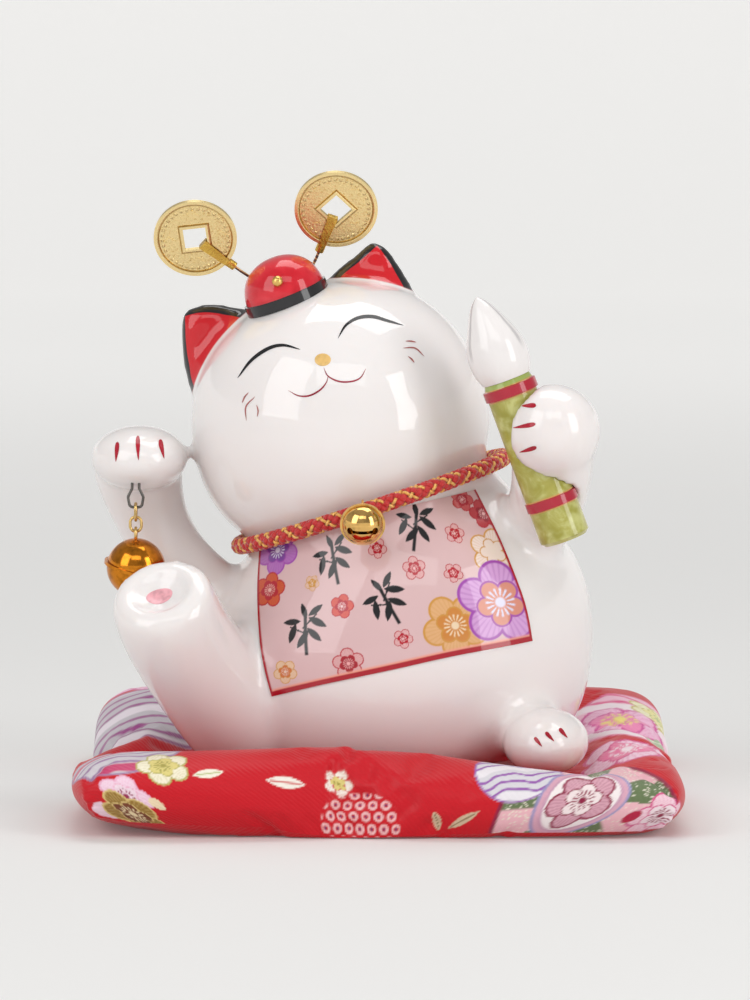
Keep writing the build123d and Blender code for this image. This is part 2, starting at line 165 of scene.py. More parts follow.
def resampled(net, places, axis):
    """The net at finer places along one axis, from 0 to 1, on smooth curves through its points."""
    net = np.moveaxis(net, axis, 0)
    last = len(net) - 1
    at = np.clip(places, 0, 1) * last
    i = np.minimum(at.astype(int), last - 1)
    t = (at - i).reshape(-1, *([1] * (net.ndim - 1)))
    a, b = net[i], net[i + 1]
    before = np.where(i.reshape(t.shape) > 0, net[np.maximum(i - 1, 0)], 2 * a - b)
    after = np.where(i.reshape(t.shape) + 1 < last, net[np.minimum(i + 2, last)], 2 * b - a)
    fine = 0.5 * (2 * a + (b - before) * t + (2 * before - 5 * a + 4 * b - after) * t ** 2
                  + (3 * a - before - 3 * b + after) * t ** 3)
    return np.moveaxis(fine, 0, axis)


# ---- Shader helpers ----

class Field:
    """A number that varies over a surface, made of shader math nodes."""

    def __init__(self, tree, socket):
        self.tree, self.socket = tree, socket

    def math(self, operation, *others):
        node = self.tree.nodes.new("ShaderNodeMath")
        node.operation = operation
        for i, value in enumerate((self, *others)):
            if isinstance(value, Field):
                self.tree.links.new(value.socket, node.inputs[i])
            else:
                node.inputs[i].default_value = value
        return Field(self.tree, node.outputs[0])

    def __add__(self, other):
        return self.math("ADD", other)

    def __sub__(self, other):
        return self.math("SUBTRACT", other)

    def __mul__(self, other):
        return self.math("MULTIPLY", other)

    def __neg__(self):
        return self.math("MULTIPLY", -1.0)

    def __abs__(self):
        return self.math("ABSOLUTE")

    def curve(self, points):
        """The smooth curve through (from, to) pairs, for a value between the first and the last of them."""
        start, end = points[0][0], points[-1][0]
        low, high = min(v for _, v in points), max(v for _, v in points)
        place = (self - start) * (1 / (end - start))
        node = self.tree.nodes.new("ShaderNodeFloatCurve")
        line = node.mapping.curves[0]
        spots = [((k - start) / (end - start), (v - low) / max(high - low, 1e-6)) for k, v in points]
        line.points[0].location, line.points[1].location = spots[0], spots[-1]
        for spot in spots[1:-1]:
            line.points.new(*spot)
        node.mapping.update()
        self.tree.links.new(place.socket, node.inputs["Value"])
        return Field(self.tree, node.outputs["Value"]) * (high - low) + low

    def step(self, edge, soft):
        """0 below the edge and 1 above it, softened over a width."""
        node = self.tree.nodes.new("ShaderNodeMapRange")
        node.interpolation_type = "SMOOTHSTEP"
        self.tree.links.new(self.socket, node.inputs["Value"])
        node.inputs["From Min"].default_value = edge - soft
        node.inputs["From Max"].default_value = edge + soft
        return Field(self.tree, node.outputs["Result"])

    def below(self, edge, soft):
        """1 below the edge and 0 above it."""
        return (-self).step(-edge, soft)


# The sockets of a Mix node that mixes colours
UNDER, OVER, MIXED = 6, 7, 2


class Look:
    """A Principled material under construction, in which colours are laid over each other."""

    def __init__(self, name, colour, **sockets):
        self.material = bpy.data.materials.new(name)
        self.material.use_nodes = True
        self.material.diffuse_color = (*colour, 1)
        self.tree = self.material.node_tree
        self.shader = self.tree.nodes["Principled BSDF"]
        self.colour = None
        self.shader.inputs["Base Color"].default_value = (*colour, 1)
        for key, value in sockets.items():
            self.shader.inputs[key.replace("_", " ")].default_value = value

    def node(self, kind, **values):
        node = self.tree.nodes.new(kind)
        for key, value in values.items():
            setattr(node, key, value)
        return node

    def link(self, a, b):
        self.tree.links.new(a, b)

    def coords(self, output="Object"):
        return self.node("ShaderNodeTexCoord").outputs[output]

    def transformed(self, matrix):
        """The surface point in another frame, as three Fields in millimetres."""
        inverse = matrix.inverted()
        source = self.node("ShaderNodeVectorMath", operation="SCALE")
        self.link(self.coords(), source.inputs[0])
        source.inputs["Scale"].default_value = 1 / MM
        fields = []
        for row in range(3):
            dot = self.node("ShaderNodeVectorMath", operation="DOT_PRODUCT")
            self.link(source.outputs[0], dot.inputs[0])
            dot.inputs[1].default_value = inverse[row][:3]
            fields.append(Field(self.tree, dot.outputs["Value"]) + inverse[row][3])
        return fields

    def noise(self, scale, detail=3.0, rough=0.5, distortion=0.0):
        """Noise about 0.5, with a scale in cycles per millimetre."""
        node = self.node("ShaderNodeTexNoise")
        node.inputs["Scale"].default_value = scale / MM
        node.inputs["Detail"].default_value = detail
        node.inputs["Roughness"].default_value = rough
        node.inputs["Distortion"].default_value = distortion
        self.link(self.coords(), node.inputs["Vector"])
        return Field(self.tree, node.outputs["Fac"])

    def mix(self, factor, colour):
        """Lays a colour over what is there so far, where the factor is 1."""
        if not self.colour:
            base = self.node("ShaderNodeRGB")
            base.outputs[0].default_value = self.shader.inputs["Base Color"].default_value
            self.colour = base.outputs[0]
        node = self.node("ShaderNodeMix", data_type="RGBA")
        self.link(factor.socket, node.inputs["Factor"])
        self.link(self.colour, node.inputs[UNDER])
        node.inputs[OVER].default_value = (*colour, 1)
        self.colour = node.outputs[MIXED]
        self.link(self.colour, self.shader.inputs["Base Color"])

    def printed(self):
        """Takes the colour from the piece's own print."""
        self.colour = self.node("ShaderNodeAttribute", attribute_name="print").outputs["Color"]
        self.link(self.colour, self.shader.inputs["Base Color"])

    def set(self, socket, field):
        self.link(field.socket, self.shader.inputs[socket])

    def bump(self, field, height):
        """Raises the surface by the field times a height in millimetres."""
        node = self.node("ShaderNodeBump")
        node.inputs["Distance"].default_value = height * MM
        self.link(field.socket, node.inputs["Height"])
        self.link(node.outputs[0], self.shader.inputs["Normal"])


def glazed(name, colour, specular=0.1, coat=1.0, **sockets):
    """A colour under clear glaze."""
    return Look(name, colour, Roughness=0.3, Specular_IOR_Level=specular, Coat_Weight=coat, Coat_Roughness=0.03,
                **sockets)


# ---- Printed motifs ----

def turned(x, y, degrees):
    """Flat points turned about their origin."""
    cos, sin = math.cos(math.radians(degrees)), math.sin(math.radians(degrees))
    return x * cos - y * sin, x * sin + y * cos


def ramp(value, edge, soft):
    """0 below the edge and 1 above it, softened over a width."""
    t = np.clip((value - edge + soft) / (2 * soft), 0, 1)
    return t * t * (3 - 2 * t)


def below(value, edge, soft=0.03):
    """1 below the edge and 0 above it."""
    return ramp(-value, -edge, soft)


class Print:
    """Colours printed over each other at the points of a flat pattern, in millimetres."""

    def __init__(self, pattern, base):
        self.x, self.y = pattern.T
        self.colours = np.tile(np.array(base, float), (len(pattern), 1))

    def mix(self, factor, colour):
        self.colours += np.broadcast_to(factor, self.x.shape)[:, None] * (np.array(colour) - self.colours)

    def stamp(self, draw, centre, radius, turn, *colours):
        """Prints a motif, drawn in a frame where its radius is 1."""
        dx, dy = self.x - centre[0], self.y - centre[1]
        near = np.flatnonzero(np.hypot(dx, dy) < radius * 1.5)
        local = np.stack(turned(dx, dy, -turn), 1)[near] / radius
        part = Print(local, (0, 0, 0))
        part.colours = self.colours[near]
        draw(part, *colours)
        self.colours[near] = part.colours

    def laid_on(self, piece):
        """Stores the print on the piece's points."""
        layer = piece.data.color_attributes.new("print", "FLOAT_COLOR", "POINT")
        values = np.c_[np.clip(self.colours, 0, 1), np.ones(len(self.x))]
        layer.data.foreach_set("color", values.ravel())


def petal_distance(r, angle, size, petals=5, offset=0.0):
    """0 at the middle of the nearest petal and 1 at its edge, for a blossom of that size."""
    around = ((angle * petals / (2 * math.pi) + offset) % 1 - 0.5) * 2 * math.pi / petals
    return np.hypot(r * np.cos(around) - 0.58 * size, r * np.sin(around)) / (0.43 * size)


def blossom(part, fill, edge, inner, heart):
    """Outer petals with a drawn edge, a darker inner flower, stamens and a heart."""
    r, angle = np.hypot(part.x, part.y), np.arctan2(part.y, part.x)
    outer = petal_distance(r, angle, 1.0)
    part.mix(np.maximum(below(outer, 1.0), below(r, 0.45)), fill)
    part.mix(below(outer, 1.0) * ramp(np.sin(angle * 40), 0.35, 0.5) * ramp(r, 0.45, 0.25) * 0.3, edge)
    part.mix(below(outer, 1.0) * ramp(outer, 0.84, 0.05) * ramp(r, 0.5, 0.05), edge)
    core = petal_distance(r, angle, 0.58, offset=0.5)
    part.mix(np.maximum(below(core, 1.0), below(r, 0.25)), inner)
    part.mix(below(core, 1.0) * ramp(core, 0.82, 0.06) * ramp(r, 0.3, 0.05), edge)
    part.mix(ramp(np.sin(angle * 15), 0.3, 0.3) * ramp(r, 0.16, 0.03) * below(r, 0.34), heart)
    part.mix(below(r, 0.12), heart)


def leaf(part, fill, vein):
    """A pointed leaf, or a brush mark where both colours are the same."""
    across = np.abs(part.y) - 0.34 * (1 - part.x ** 2)
    part.mix(below(across, 0.0, 0.03) * below(np.abs(part.x), 1.0), fill)
    part.mix(below(across, -0.05, 0.03) * below(np.abs(part.x), 0.8) * below(np.abs(part.y), 0.05, 0.03), vein)


def twig(part, fill, node):
    """A brushed stem with a knot in the middle."""
    part.mix(below(np.abs(part.y), 0.075, 0.03) * below(np.abs(part.x), 0.96), fill)
    part.mix(below(np.hypot(part.x, part.y), 0.12, 0.03), node)


def rings(part, ring, middle):
    """A fan of little tie-dyed rings, in staggered rows."""
    inside = below(np.hypot(part.x, part.y * 1.15), 1.0)
    pitch = 0.27
    row = np.round(part.y / pitch)
    shift = (row % 2) * 0.5 + 0.12 * np.sin(row * 7.0)
    across = part.x / pitch / 1.12 - shift
    d = np.hypot((across - np.round(across)) * 1.12, part.y / pitch - row)
    part.mix(inside * below(d, 0.42, 0.06) * ramp(d, 0.2, 0.06), ring)
    part.mix(inside * below(d, 0.1, 0.05), middle)


def disc(part, fill, rim):
    """A round field with a drawn rim."""
    r = np.hypot(part.x, part.y)
    part.mix(below(r, 1.0, 0.02), rim)
    part.mix(below(r, 0.94, 0.02), fill)


def speckled(part, first, second, speck, rim):
    """A round field of alternating speckled patches inside a drawn rim."""
    r, angle = np.hypot(part.x, part.y), np.arctan2(part.y, part.x)
    part.mix(below(r, 1.0, 0.015), rim)
    inside = below(r, 0.95, 0.015)
    part.mix(inside, first)
    part.mix(inside * ramp((angle * 5 / (2 * math.pi) + 0.2) % 1, 0.5, 0.02), second)
    grain = np.sin(part.x * 47 + 3 * np.sin(part.y * 23)) * np.sin(part.y * 53 + 3 * np.sin(part.x * 29))
    part.mix(inside * ramp(grain, 0.72, 0.1), speck)


def waves(part, fill, line, accent):
    """A round field of long wavy brocade lines."""
    r = np.hypot(part.x, part.y)
    inside = below(r, 1.0, 0.02)
    part.mix(inside, fill)
    wave = part.y * 26 + 2.2 * np.sin(part.x * 5) + 0.5 * np.sin(part.x * 13 + part.y * 4)
    part.mix(inside * ramp(np.sin(wave), 0.55, 0.25), line)
    part.mix(inside * ramp(np.sin(wave * 0.25 + 0.8), 0.72, 0.12), accent)
    part.mix(inside * ramp(r, 0.96, 0.02), line)


# ---- Frames of the model ----

def frame_of(origin, x, y, z):
    """The frame at a point that has these axes."""
    return Matrix.Translation(origin) @ Matrix((x, y, z)).transposed().to_4x4()


def facing(origin, into, across):
    """A frame at a point, whose Y goes into the surface."""
    y = Vector(into).normalized()
    z = Vector(across).cross(y).normalized()
    return frame_of(origin, y.cross(z), y, z)


def leaning(origin, roll, pitch):
    """A frame whose Z leans left by roll and back by pitch, and whose X stays in the XZ plane."""
    r, p = math.radians(roll), math.radians(pitch)
    x = Vector((math.cos(r), 0, math.sin(r)))
    z = Vector((-math.sin(r) * math.cos(p), math.sin(p), math.cos(r) * math.cos(p)))
    return frame_of(origin, x, z.cross(x), z)


HEAD = leaning((-11.6, 2.0, 109.3), 21.0, 2.0)
NECK = leaning((-2.2, 1.0, 85.6), 18.5, 2.6)
CAP = leaning(HEAD @ Vector((-1.2, -7.5, 37.4)), 21.0, 2.0) @ Matrix.Rotation(math.radians(6), 4, "X")
BRUSH_END, BRUSH_TIP = Vector((52.6, -41.0, 79.0)), Vector((27.2, -41.0, 147.6))


def brush_frame():
    """A frame at the brush's end whose Z runs to its tip."""
    ahead, side = (BRUSH_TIP - BRUSH_END).normalized(), Vector((0, 1, 0))
    return frame_of(BRUSH_END, ahead.cross(side), side, ahead)


# ---- The glazed ceramic ----

WHITE, BLACK = (0.83, 0.795, 0.785), (0.012, 0.012, 0.014)
CASTINGS = ("body_casting", "head_casting", "right_arm_casting", "left_arm_casting")
GRAIN = 1.28
# The raised foot's sole: its middle, the way into it, and the shallow dish pressed into it
SOLE_CENTRE, SOLE_INTO = (-61.0, -49.3, 63.2), (0.20, 0.59, -0.78)
DISH_RADIUS, DISH_SOFT, DISH_DEPTH, DISH_REACH = 7.8, 1.7, 1.5, 8
# A join is where the skin lies this far below its neighbours, and the sole's edge, this near its middle, isn't one
JOIN_HOLLOW, SOLE_RADIUS = 0.035, 17
# Rounds of smoothing: off the voxels, round the joins found, into the joins, and over all
VOXEL_ROUNDS, GROW_ROUNDS, BLUR_ROUNDS, FILL_ROUNDS, GLAZE_ROUNDS = 12, 5, 3, 40, 16


def one_skin(name, nodes, grain):
    """Several CAD nodes as one skin of even grain."""
    build = bmesh.new()
    for node in nodes:
        build.from_mesh(NODES[node].data)
    mesh = bpy.data.meshes.new(name)
    build.to_mesh(mesh)
    build.free()
    piece = bpy.data.objects.new(name, mesh)
    SCENE.collection.objects.link(piece)
    remesh = piece.modifiers.new("remesh", "REMESH")
    remesh.mode, remesh.voxel_size, remesh.use_smooth_shade = "VOXEL", grain * MM, True
    skin = evaluated(piece)
    piece.modifiers.clear()
    piece.data = skin
    return piece


def join_weight(mesh, points, average):
    """1 along the joins of the castings and 0 elsewhere, for each point of the skin."""
    normals = np.empty(len(points) * 3)
    mesh.vertices.foreach_get("normal", normals)
    hollow = np.einsum("ij,ij->i", average(points) - points, normals.reshape(-1, 3))
    for _ in range(BLUR_ROUNDS):
        hollow = average(hollow)
    weight = (hollow > JOIN_HOLLOW).astype(float) * (np.linalg.norm(points - SOLE_CENTRE, axis=1) > SOLE_RADIUS)
    for _ in range(GROW_ROUNDS):
        weight = np.maximum(weight, average(weight))
    for _ in range(BLUR_ROUNDS):
        weight = average(weight)
    return np.clip(weight * 1.5, 0, 1)[:, None]


def ceramic():
    """The castings luted into one skin, with the joins filled and the edges softened by glaze."""
    piece = one_skin("cat_ceramic", CASTINGS, GRAIN)
    mesh = piece.data
    average = neighbour_average(mesh)
    points = positions(mesh)
    for step in range(VOXEL_ROUNDS):
        points += 0.5 * (average(points) - points)
        points -= 0.5 * (average(points) - points) if step % 2 else 0
    move_points(mesh, points)
    weight = join_weight(mesh, points, average)
    for _ in range(FILL_ROUNDS):
        points += 0.5 * weight * (average(points) - points)
    for step in range(GLAZE_ROUNDS):
        points += (0.5 if step % 2 == 0 else -0.51) * (average(points) - points)
    move_points(mesh, pressed_sole(points))
    mesh.shade_smooth()
    return piece


def pressed_sole(points):
    """A shallow round dish pressed into the raised foot's sole."""
    into = np.array(SOLE_INTO) / np.linalg.norm(SOLE_INTO)
    away = points - SOLE_CENTRE
    deep = away @ into
    radius = np.linalg.norm(away - deep[:, None] * into, axis=1)
    press = DISH_DEPTH * (1 - ramp(radius, DISH_RADIUS, DISH_SOFT)) * (np.abs(deep) < DISH_REACH)
    return points + press[:, None] * into


def glaze_look():
    """White glaze, a little warmer in places, that lets some light in."""
    look = glazed("white_glaze", WHITE, specular=0.12, Subsurface_Weight=0.12, Subsurface_Scale=0.004)
    look.shader.inputs["Subsurface Radius"].default_value = (1.0, 0.75, 0.6)
    look.mix(look.noise(0.02, 2.0).step(0.55, 0.25), (0.85, 0.79, 0.775))
    return look


cat = ceramic()
glaze = glaze_look()
finished(cat, "cat", glaze.material)
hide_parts(*CASTINGS)


# ---- Ear paint ----

# Tilt from the head's axis, and the height, sideways shift and half-width of each section
EARS = (
    (-39.8, ((29.0, 0.0, 17.0), (39.5, -0.6, 15.2), (46.0, 1.4, 10.9),
             (49.4, 2.8, 7.8), (52.2, 3.9, 4.4), (54.5, 4.5, 1.2))),
    (34.4, ((29.0, 0.0, 15.0), (38.3, 0.6, 13.3), (45.7, 0.3, 8.0),
            (48.8, -0.2, 5.3), (51.0, -0.8, 3.2), (52.6, -1.3, 1.2))),
)
# The head's rounded form: half its width, half its height, the level of its middle, and the power of its curve
HEAD_RADIUS, HEAD_HEIGHT, HEAD_LEVEL, HEAD_POWER = 43.4, 42.6, -3, 2.15
EAR_FOOT, EAR_FRONT, EAR_RIM, EAR_REACH = 25.0, 2.2, 2.9, 3.0


def paint_ears(look):
    """Red inside each ear, with a black line that wraps round its edge."""
    x, y, z = look.transformed(HEAD)
    reach = (((x * x + y * y) * (1 / HEAD_RADIUS ** 2)).math("POWER", HEAD_POWER / 2)
             + (abs(z - HEAD_LEVEL) * (1 / HEAD_HEIGHT)).math("POWER", HEAD_POWER))
    clear = reach.step(1.03, 0.01)
    for tilt, sections in EARS:
        x, y, z = look.transformed(HEAD @ Matrix.Rotation(math.radians(tilt), 4, "Y"))
        shift = z.curve([(h, s) for h, s, _ in sections])
        half = z.curve([(h, w) for h, _, w in sections])
        inset = half - abs(x - shift)
        near = (abs(x - shift) - half).step(EAR_REACH, 0.1).math("SUBTRACT", 1.0) * -1.0
        there = clear * near * z.step(EAR_FOOT, 0.2)
        look.mix(there * y.below(EAR_FRONT, 0.15), (0.62, 0.004, 0.012))
        look.mix(there * inset.below(EAR_RIM, 0.12), (0.008, 0.007, 0.009))


paint_ears(glaze)


# ---- Painted lines and patches ----

class Projector:
    """Lays points of a local frame onto the glazed surface: X across, Z up, Y into the surface."""

    def __init__(self, tree, matrix):
        self.tree, self.matrix = tree, matrix

    def place(self, x, z, lift=0.08):
        start = self.matrix @ Vector((x, -90, z))
        ahead = self.matrix.to_3x3() @ Vector((0, 1, 0))
        spot, normal, _, _ = self.tree.ray_cast(start, ahead)
        return spot + normal * lift if spot else None


def skin_tree(piece):
    """A piece's surface to cast rays at, in millimetres."""
    mesh = piece.data
    return BVHTree.FromPolygons([v.co / MM for v in mesh.vertices], [p.vertices[:] for p in mesh.polygons])


def smooth_path(points, count):
    """Evenly spaced points on a smooth curve through the given ones."""
    points = np.array(points, float)
    fine = resampled(points, np.linspace(0, 1, 24 * (len(points) - 1) + 1), 0)
    along = np.r_[0, np.cumsum(np.linalg.norm(np.diff(fine, axis=0), axis=1))]
    want = np.linspace(0, along[-1], count)
    return np.stack([np.interp(want, along, fine[:, k]) for k in range(fine.shape[1])], 1)


STROKE_STEPS, STROKE_ROWS = 30, (-1, -0.5, 0, 0.5, 1)
PATCH_RINGS, PATCH_STEPS = 7, 36
PATCH_LIFT, PATCH_EDGE_LIFT = 0.1, 0.02


def stroke(name, projector, points, width, profile, look, slot):
    """A brush stroke along a path on the glaze, as wide at each point as its profile says."""
    path = smooth_path(points, STROKE_STEPS)
    along = np.gradient(path, axis=0)
    side = np.stack([-along[:, 1], along[:, 0]], 1) / np.linalg.norm(along, axis=1)[:, None]
    half = width / 2 * profile(np.linspace(0, 1, STROKE_STEPS))
    spots = []
    for offset in STROKE_ROWS:
        spots += [projector.place(*(path[i] + side[i] * half[i] * offset)) for i in range(STROKE_STEPS)]
    if any(spot is None for spot in spots):
        raise SystemExit(f"{name} misses the glaze")
    piece = new_piece(name, spots, grid_faces(len(STROKE_ROWS), STROKE_STEPS))
    finished(piece, "cat", look.material)


def patch(name, projector, centre, sizes, turn, look, slot):
    """A round or oval spot of enamel on the glaze."""
    points = [projector.place(*centre, PATCH_LIFT)]
    for ring in range(1, PATCH_RINGS + 1):
        lift = PATCH_LIFT if ring < PATCH_RINGS else PATCH_EDGE_LIFT
        for k in range(PATCH_STEPS):
            t = 2 * math.pi * k / PATCH_STEPS
            part = ring / PATCH_RINGS
            u, v = turned(sizes[0] * part * math.cos(t), sizes[1] * part * math.sin(t), turn)
            points.append(projector.place(centre[0] + u, centre[1] + v, lift))
    faces = [(0, 1 + (k + 1) % PATCH_STEPS, 1 + k) for k in range(PATCH_STEPS)]
    faces += [tuple(i + 1 for i in f) for f in grid_faces(PATCH_RINGS, PATCH_STEPS, closed=True)]
    finished(new_piece(name, points, faces), "cat", look.material)


def enamel(name, colour):
    """A coloured enamel, faintly uneven as brushed on, under the clear glaze."""
    look = glazed(name, colour, coat=0.6)
    look.mix(look.noise(0.5, 3.0).step(0.6, 0.2), tuple(c * 0.72 for c in colour))
    return look


def both_ends_fine(t):
    return np.clip(np.sin(math.pi * t), 0.02, 1) ** 0.6


def drop(t):
    """Fine at the start and round at the end."""
    return np.clip(np.sqrt(np.clip(1 - t ** 5, 0, 1)) * t ** 0.7, 0.02, 1)


# Path on the head, width and colour of each
FACE_LINES = {
    "left_eye": (((-21.6, 22.4), (-16.4, 25.6), (-10.8, 27.1), (-6.2, 26.6), (-1.9, 23.8)), 1.0, "black"),
    "right_eye": (((9.2, 22.9), (12.4, 25.4), (16.2, 26.1), (20.2, 25.0), (23.6, 22.5), (27.6, 19.4)), 0.95, "black"),
    "mouth_left": (((-9.0, 14.3), (-6.9, 12.0), (-4.0, 10.9), (-0.6, 11.3), (1.8, 12.6), (3.0, 14.2)), 0.5, "mouth"),
    "mouth_right": (((2.6, 16.8), (2.9, 14.2), (5.2, 11.7), (8.4, 10.4), (11.2, 10.4), (13.6, 12.2)), 0.5, "mouth"),
}
# Start, end and bow of each
WHISKERS = (
    ((-22.8, 15.4), (-20.0, 17.6), 0.4), ((-23.4, 10.4), (-18.6, 15.9), 1.0), ((-20.0, 10.4), (-19.0, 13.6), -0.5),
    ((26.6, 15.2), (29.3, 13.7), 0.2), ((25.2, 13.7), (30.0, 9.2), 0.9), ((25.8, 11.0), (26.8, 8.6), 0.3),
)
WHISKER_WIDTH = 0.4
# Width of each limb's claws, and where each starts and ends as seen from the front
CLAWS = {
    "right_paw": (1.75, ((-75.0, 99.2), (-74.6, 104.6)), ((-68.5, 99.8), (-68.9, 106.3)),
                  ((-61.3, 100.0), (-62.6, 105.2))),
    "left_paw": (1.75, ((39.8, 117.4), (43.8, 117.9)), ((37.4, 111.3), (43.6, 112.9)), ((39.2, 104.5), (43.9, 106.4))),
    "left_foot": (1.5, ((45.6, 22.3), (43.5, 24.7)), ((49.0, 23.7), (46.6, 26.1)), ((52.8, 24.4), (50.5, 26.9))),
}
# Centre, half sizes and turn
NOSE = (3.1, 18.9), (2.3, 1.75), -20
SOLE_PAD = (-0.6, 1.0), (3.8, 2.7), 6


def paint_lines(on_head, front):
    """Eyes, mouth, whiskers, nose, claws and the pad of the raised sole."""
    lines = {"black": (enamel("black_line", BLACK), "black_glaze"),
             "mouth": (enamel("mouth_line", (0.33, 0.02, 0.045)), "red_glaze")}
    for name, (path, width, colour) in FACE_LINES.items():
        stroke(name, on_head, path, width, both_ends_fine, *lines[colour])
    whisker_line = enamel("whisker_line", (0.42, 0.13, 0.12))
    for number, (start, end, bow) in enumerate(WHISKERS):
        middle = (np.array(start) + end) / 2 + (np.array(end) - start)[::-1] * (-1, 1) * bow * 0.2
        stroke(f"whisker_{number + 1}", on_head, [start, middle, end], WHISKER_WIDTH, both_ends_fine, whisker_line,
               "red_glaze")
    patch("nose", on_head, *NOSE, enamel("nose_gold", (0.78, 0.50, 0.17)), "gold_enamel")
    claw_red = enamel("claw_red", (0.42, 0.012, 0.03))
    for limb, (width, *marks) in CLAWS.items():
        for number, (start, end) in enumerate(marks):
            stroke(f"{limb}_claw_{number + 1}", front, [start, (np.array(start) + end) / 2, end], width, drop,
                   claw_red, "red_glaze")
    sole = facing(SOLE_CENTRE, SOLE_INTO, (1, 0, 0.25))
    patch("sole_pad", Projector(front.tree, sole), *SOLE_PAD, enamel("pad_pink", (0.86, 0.42, 0.47)), "pink_enamel")


front = Projector(skin_tree(cat), Matrix.Identity(4))
paint_lines(Projector(front.tree, HEAD), front)


# ---- The printed bib ----

# The bib's edges as seen from the front, its flat size, and its points across and up, coarse and fine
BIB_LEFT = ((-30.4, 34.1), (-32.4, 41.6), (-33.8, 49.5), (-34.6, 62.6), (-34.0, 75.0))
BIB_RIGHT = ((43.3, 49.5), (42.0, 56.8), (39.9, 63.9), (34.3, 77.6), (27.3, 91.0))
BIB_LOW = (BIB_LEFT[0], (-13.9, 38.9), (5.8, 43.5), (22.7, 46.9), BIB_RIGHT[0])
BIB_TOP = (BIB_LEFT[-1], (-22.5, 79.0), (-9.0, 83.2), (8.0, 87.6), BIB_RIGHT[-1])
BIB_SIZE, BIB_THICK = (86.0, 50.0), 0.32
BIB_NET, BIB_FINE = (61, 37), (351, 205)


def bib():
    """The printed bib: a thin film that hugs the belly between its four edges, and its flat pattern."""
    columns, rows = BIB_NET
    left, right = smooth_path(BIB_LEFT, rows), smooth_path(BIB_RIGHT, rows)
    low, top = smooth_path(BIB_LOW, columns), smooth_path(BIB_TOP, columns)
    s, t = np.meshgrid(np.linspace(0, 1, columns), np.linspace(0, 1, rows))
    s, t = s[..., None], t[..., None]
    spots = (1 - s) * left[:, None] + s * right[:, None] + (1 - t) * low + t * top
    spots -= (1 - s) * (1 - t) * low[0] + s * (1 - t) * low[-1] + (1 - s) * t * top[0] + s * t * top[-1]
    net = np.array([front.place(*spot, 0.0) for spot in spots.reshape(-1, 2)]).reshape(rows, columns, 3)
    for _ in range(12):
        inner = (net[:-2, 1:-1] + net[2:, 1:-1] + net[1:-1, :-2] + net[1:-1, 2:]) / 4
        net[1:-1, 1:-1] += 0.6 * (inner - net[1:-1, 1:-1])
    across, along = np.gradient(net, axis=1), np.gradient(net, axis=0)
    normal = np.cross(across, along)
    net += BIB_THICK * normal / np.linalg.norm(normal, axis=2)[..., None]
    across, up = (np.linspace(0, 1, n) for n in BIB_FINE)
    net = resampled(resampled(net, across, 1), up, 0)
    pattern = np.stack(np.meshgrid(across * BIB_SIZE[0], up * BIB_SIZE[1]), -1).reshape(-1, 2)
    return new_piece("bib", net.reshape(-1, 3), grid_faces(len(up), len(across))), pattern


CRIMSON, OCHRE, PLUM = (0.46, 0.012, 0.028), (0.62, 0.30, 0.06), (0.36, 0.07, 0.42)
PALE = (0.70, 0.48, 0.485)
# Colours that several small blossoms have
ROSE = (0.75, 0.45, 0.45), CRIMSON, CRIMSON, (0.8, 0.5, 0.5)
BIB_FLOWERS = (
    # place in the flat pattern, radius, turn, fill, edge, inner, heart
    ((7.7, 46.5), 8.2, 10, (0.45, 0.16, 0.50), PLUM, (0.20, 0.05, 0.34), (0.75, 0.72, 0.9)),
    ((4.7, 34.0), 5.6, 40, (0.62, 0.10, 0.03), CRIMSON, CRIMSON, (0.8, 0.45, 0.4)),
    ((20.0, 33.0), 2.6, 15, (0.75, 0.50, 0.40), OCHRE, OCHRE, (0.8, 0.6, 0.5)),
    ((28.8, 23.5), 4.0, 30, (0.66, 0.10, 0.07), CRIMSON, CRIMSON, (0.85, 0.6, 0.6)),
    ((6.5, 7.0), 4.0, 5, (0.78, 0.55, 0.38), OCHRE, (0.6, 0.16, 0.03), (0.8, 0.6, 0.5)),
    ((27.0, 5.0), 5.2, 50, (0.72, 0.42, 0.42), CRIMSON, (0.36, 0.008, 0.02), (0.8, 0.4, 0.4)),
    ((45.7, 9.0), 3.2, 20, *ROSE),
    ((44.5, 39.0), 3.4, 12, *ROSE),
    ((55.0, 30.0), 3.9, 48, (0.75, 0.42, 0.42), CRIMSON, CRIMSON, (0.85, 0.5, 0.5)),
    ((72.0, 38.0), 3.3, 33, *ROSE),
    ((67.0, 26.0), 3.2, 3, (0.75, 0.45, 0.45), CRIMSON, CRIMSON, (0.85, 0.5, 0.5)),
    ((79.5, 48.0), 4.0, 22, (0.6, 0.10, 0.10), CRIMSON, CRIMSON, (0.85, 0.5, 0.5)),
    ((84.5, 42.0), 4.8, 55, (0.5, 0.05, 0.06), CRIMSON, (0.3, 0.008, 0.02), (0.85, 0.5, 0.5)),
    ((82.0, 30.0), 7.5, 28, (0.86, 0.72, 0.66), OCHRE, (0.85, 0.70, 0.62), (0.85, 0.72, 0.62)),
    ((62.7, 9.5), 10.5, 8, (0.74, 0.42, 0.20), OCHRE, (0.62, 0.24, 0.05), (0.85, 0.66, 0.45)),
    ((78.5, 14.0), 13.5, 44, (0.66, 0.36, 0.68), PLUM, (0.70, 0.28, 0.20), (0.75, 0.72, 0.90)),
)
# Sprays of bamboo in ink: place and turn of each
INK_SPRAYS = (((28.5, 38.5), 14), ((59.5, 42.5), -12), ((43.5, 21.5), 28), ((15.5, 18.5), 4))
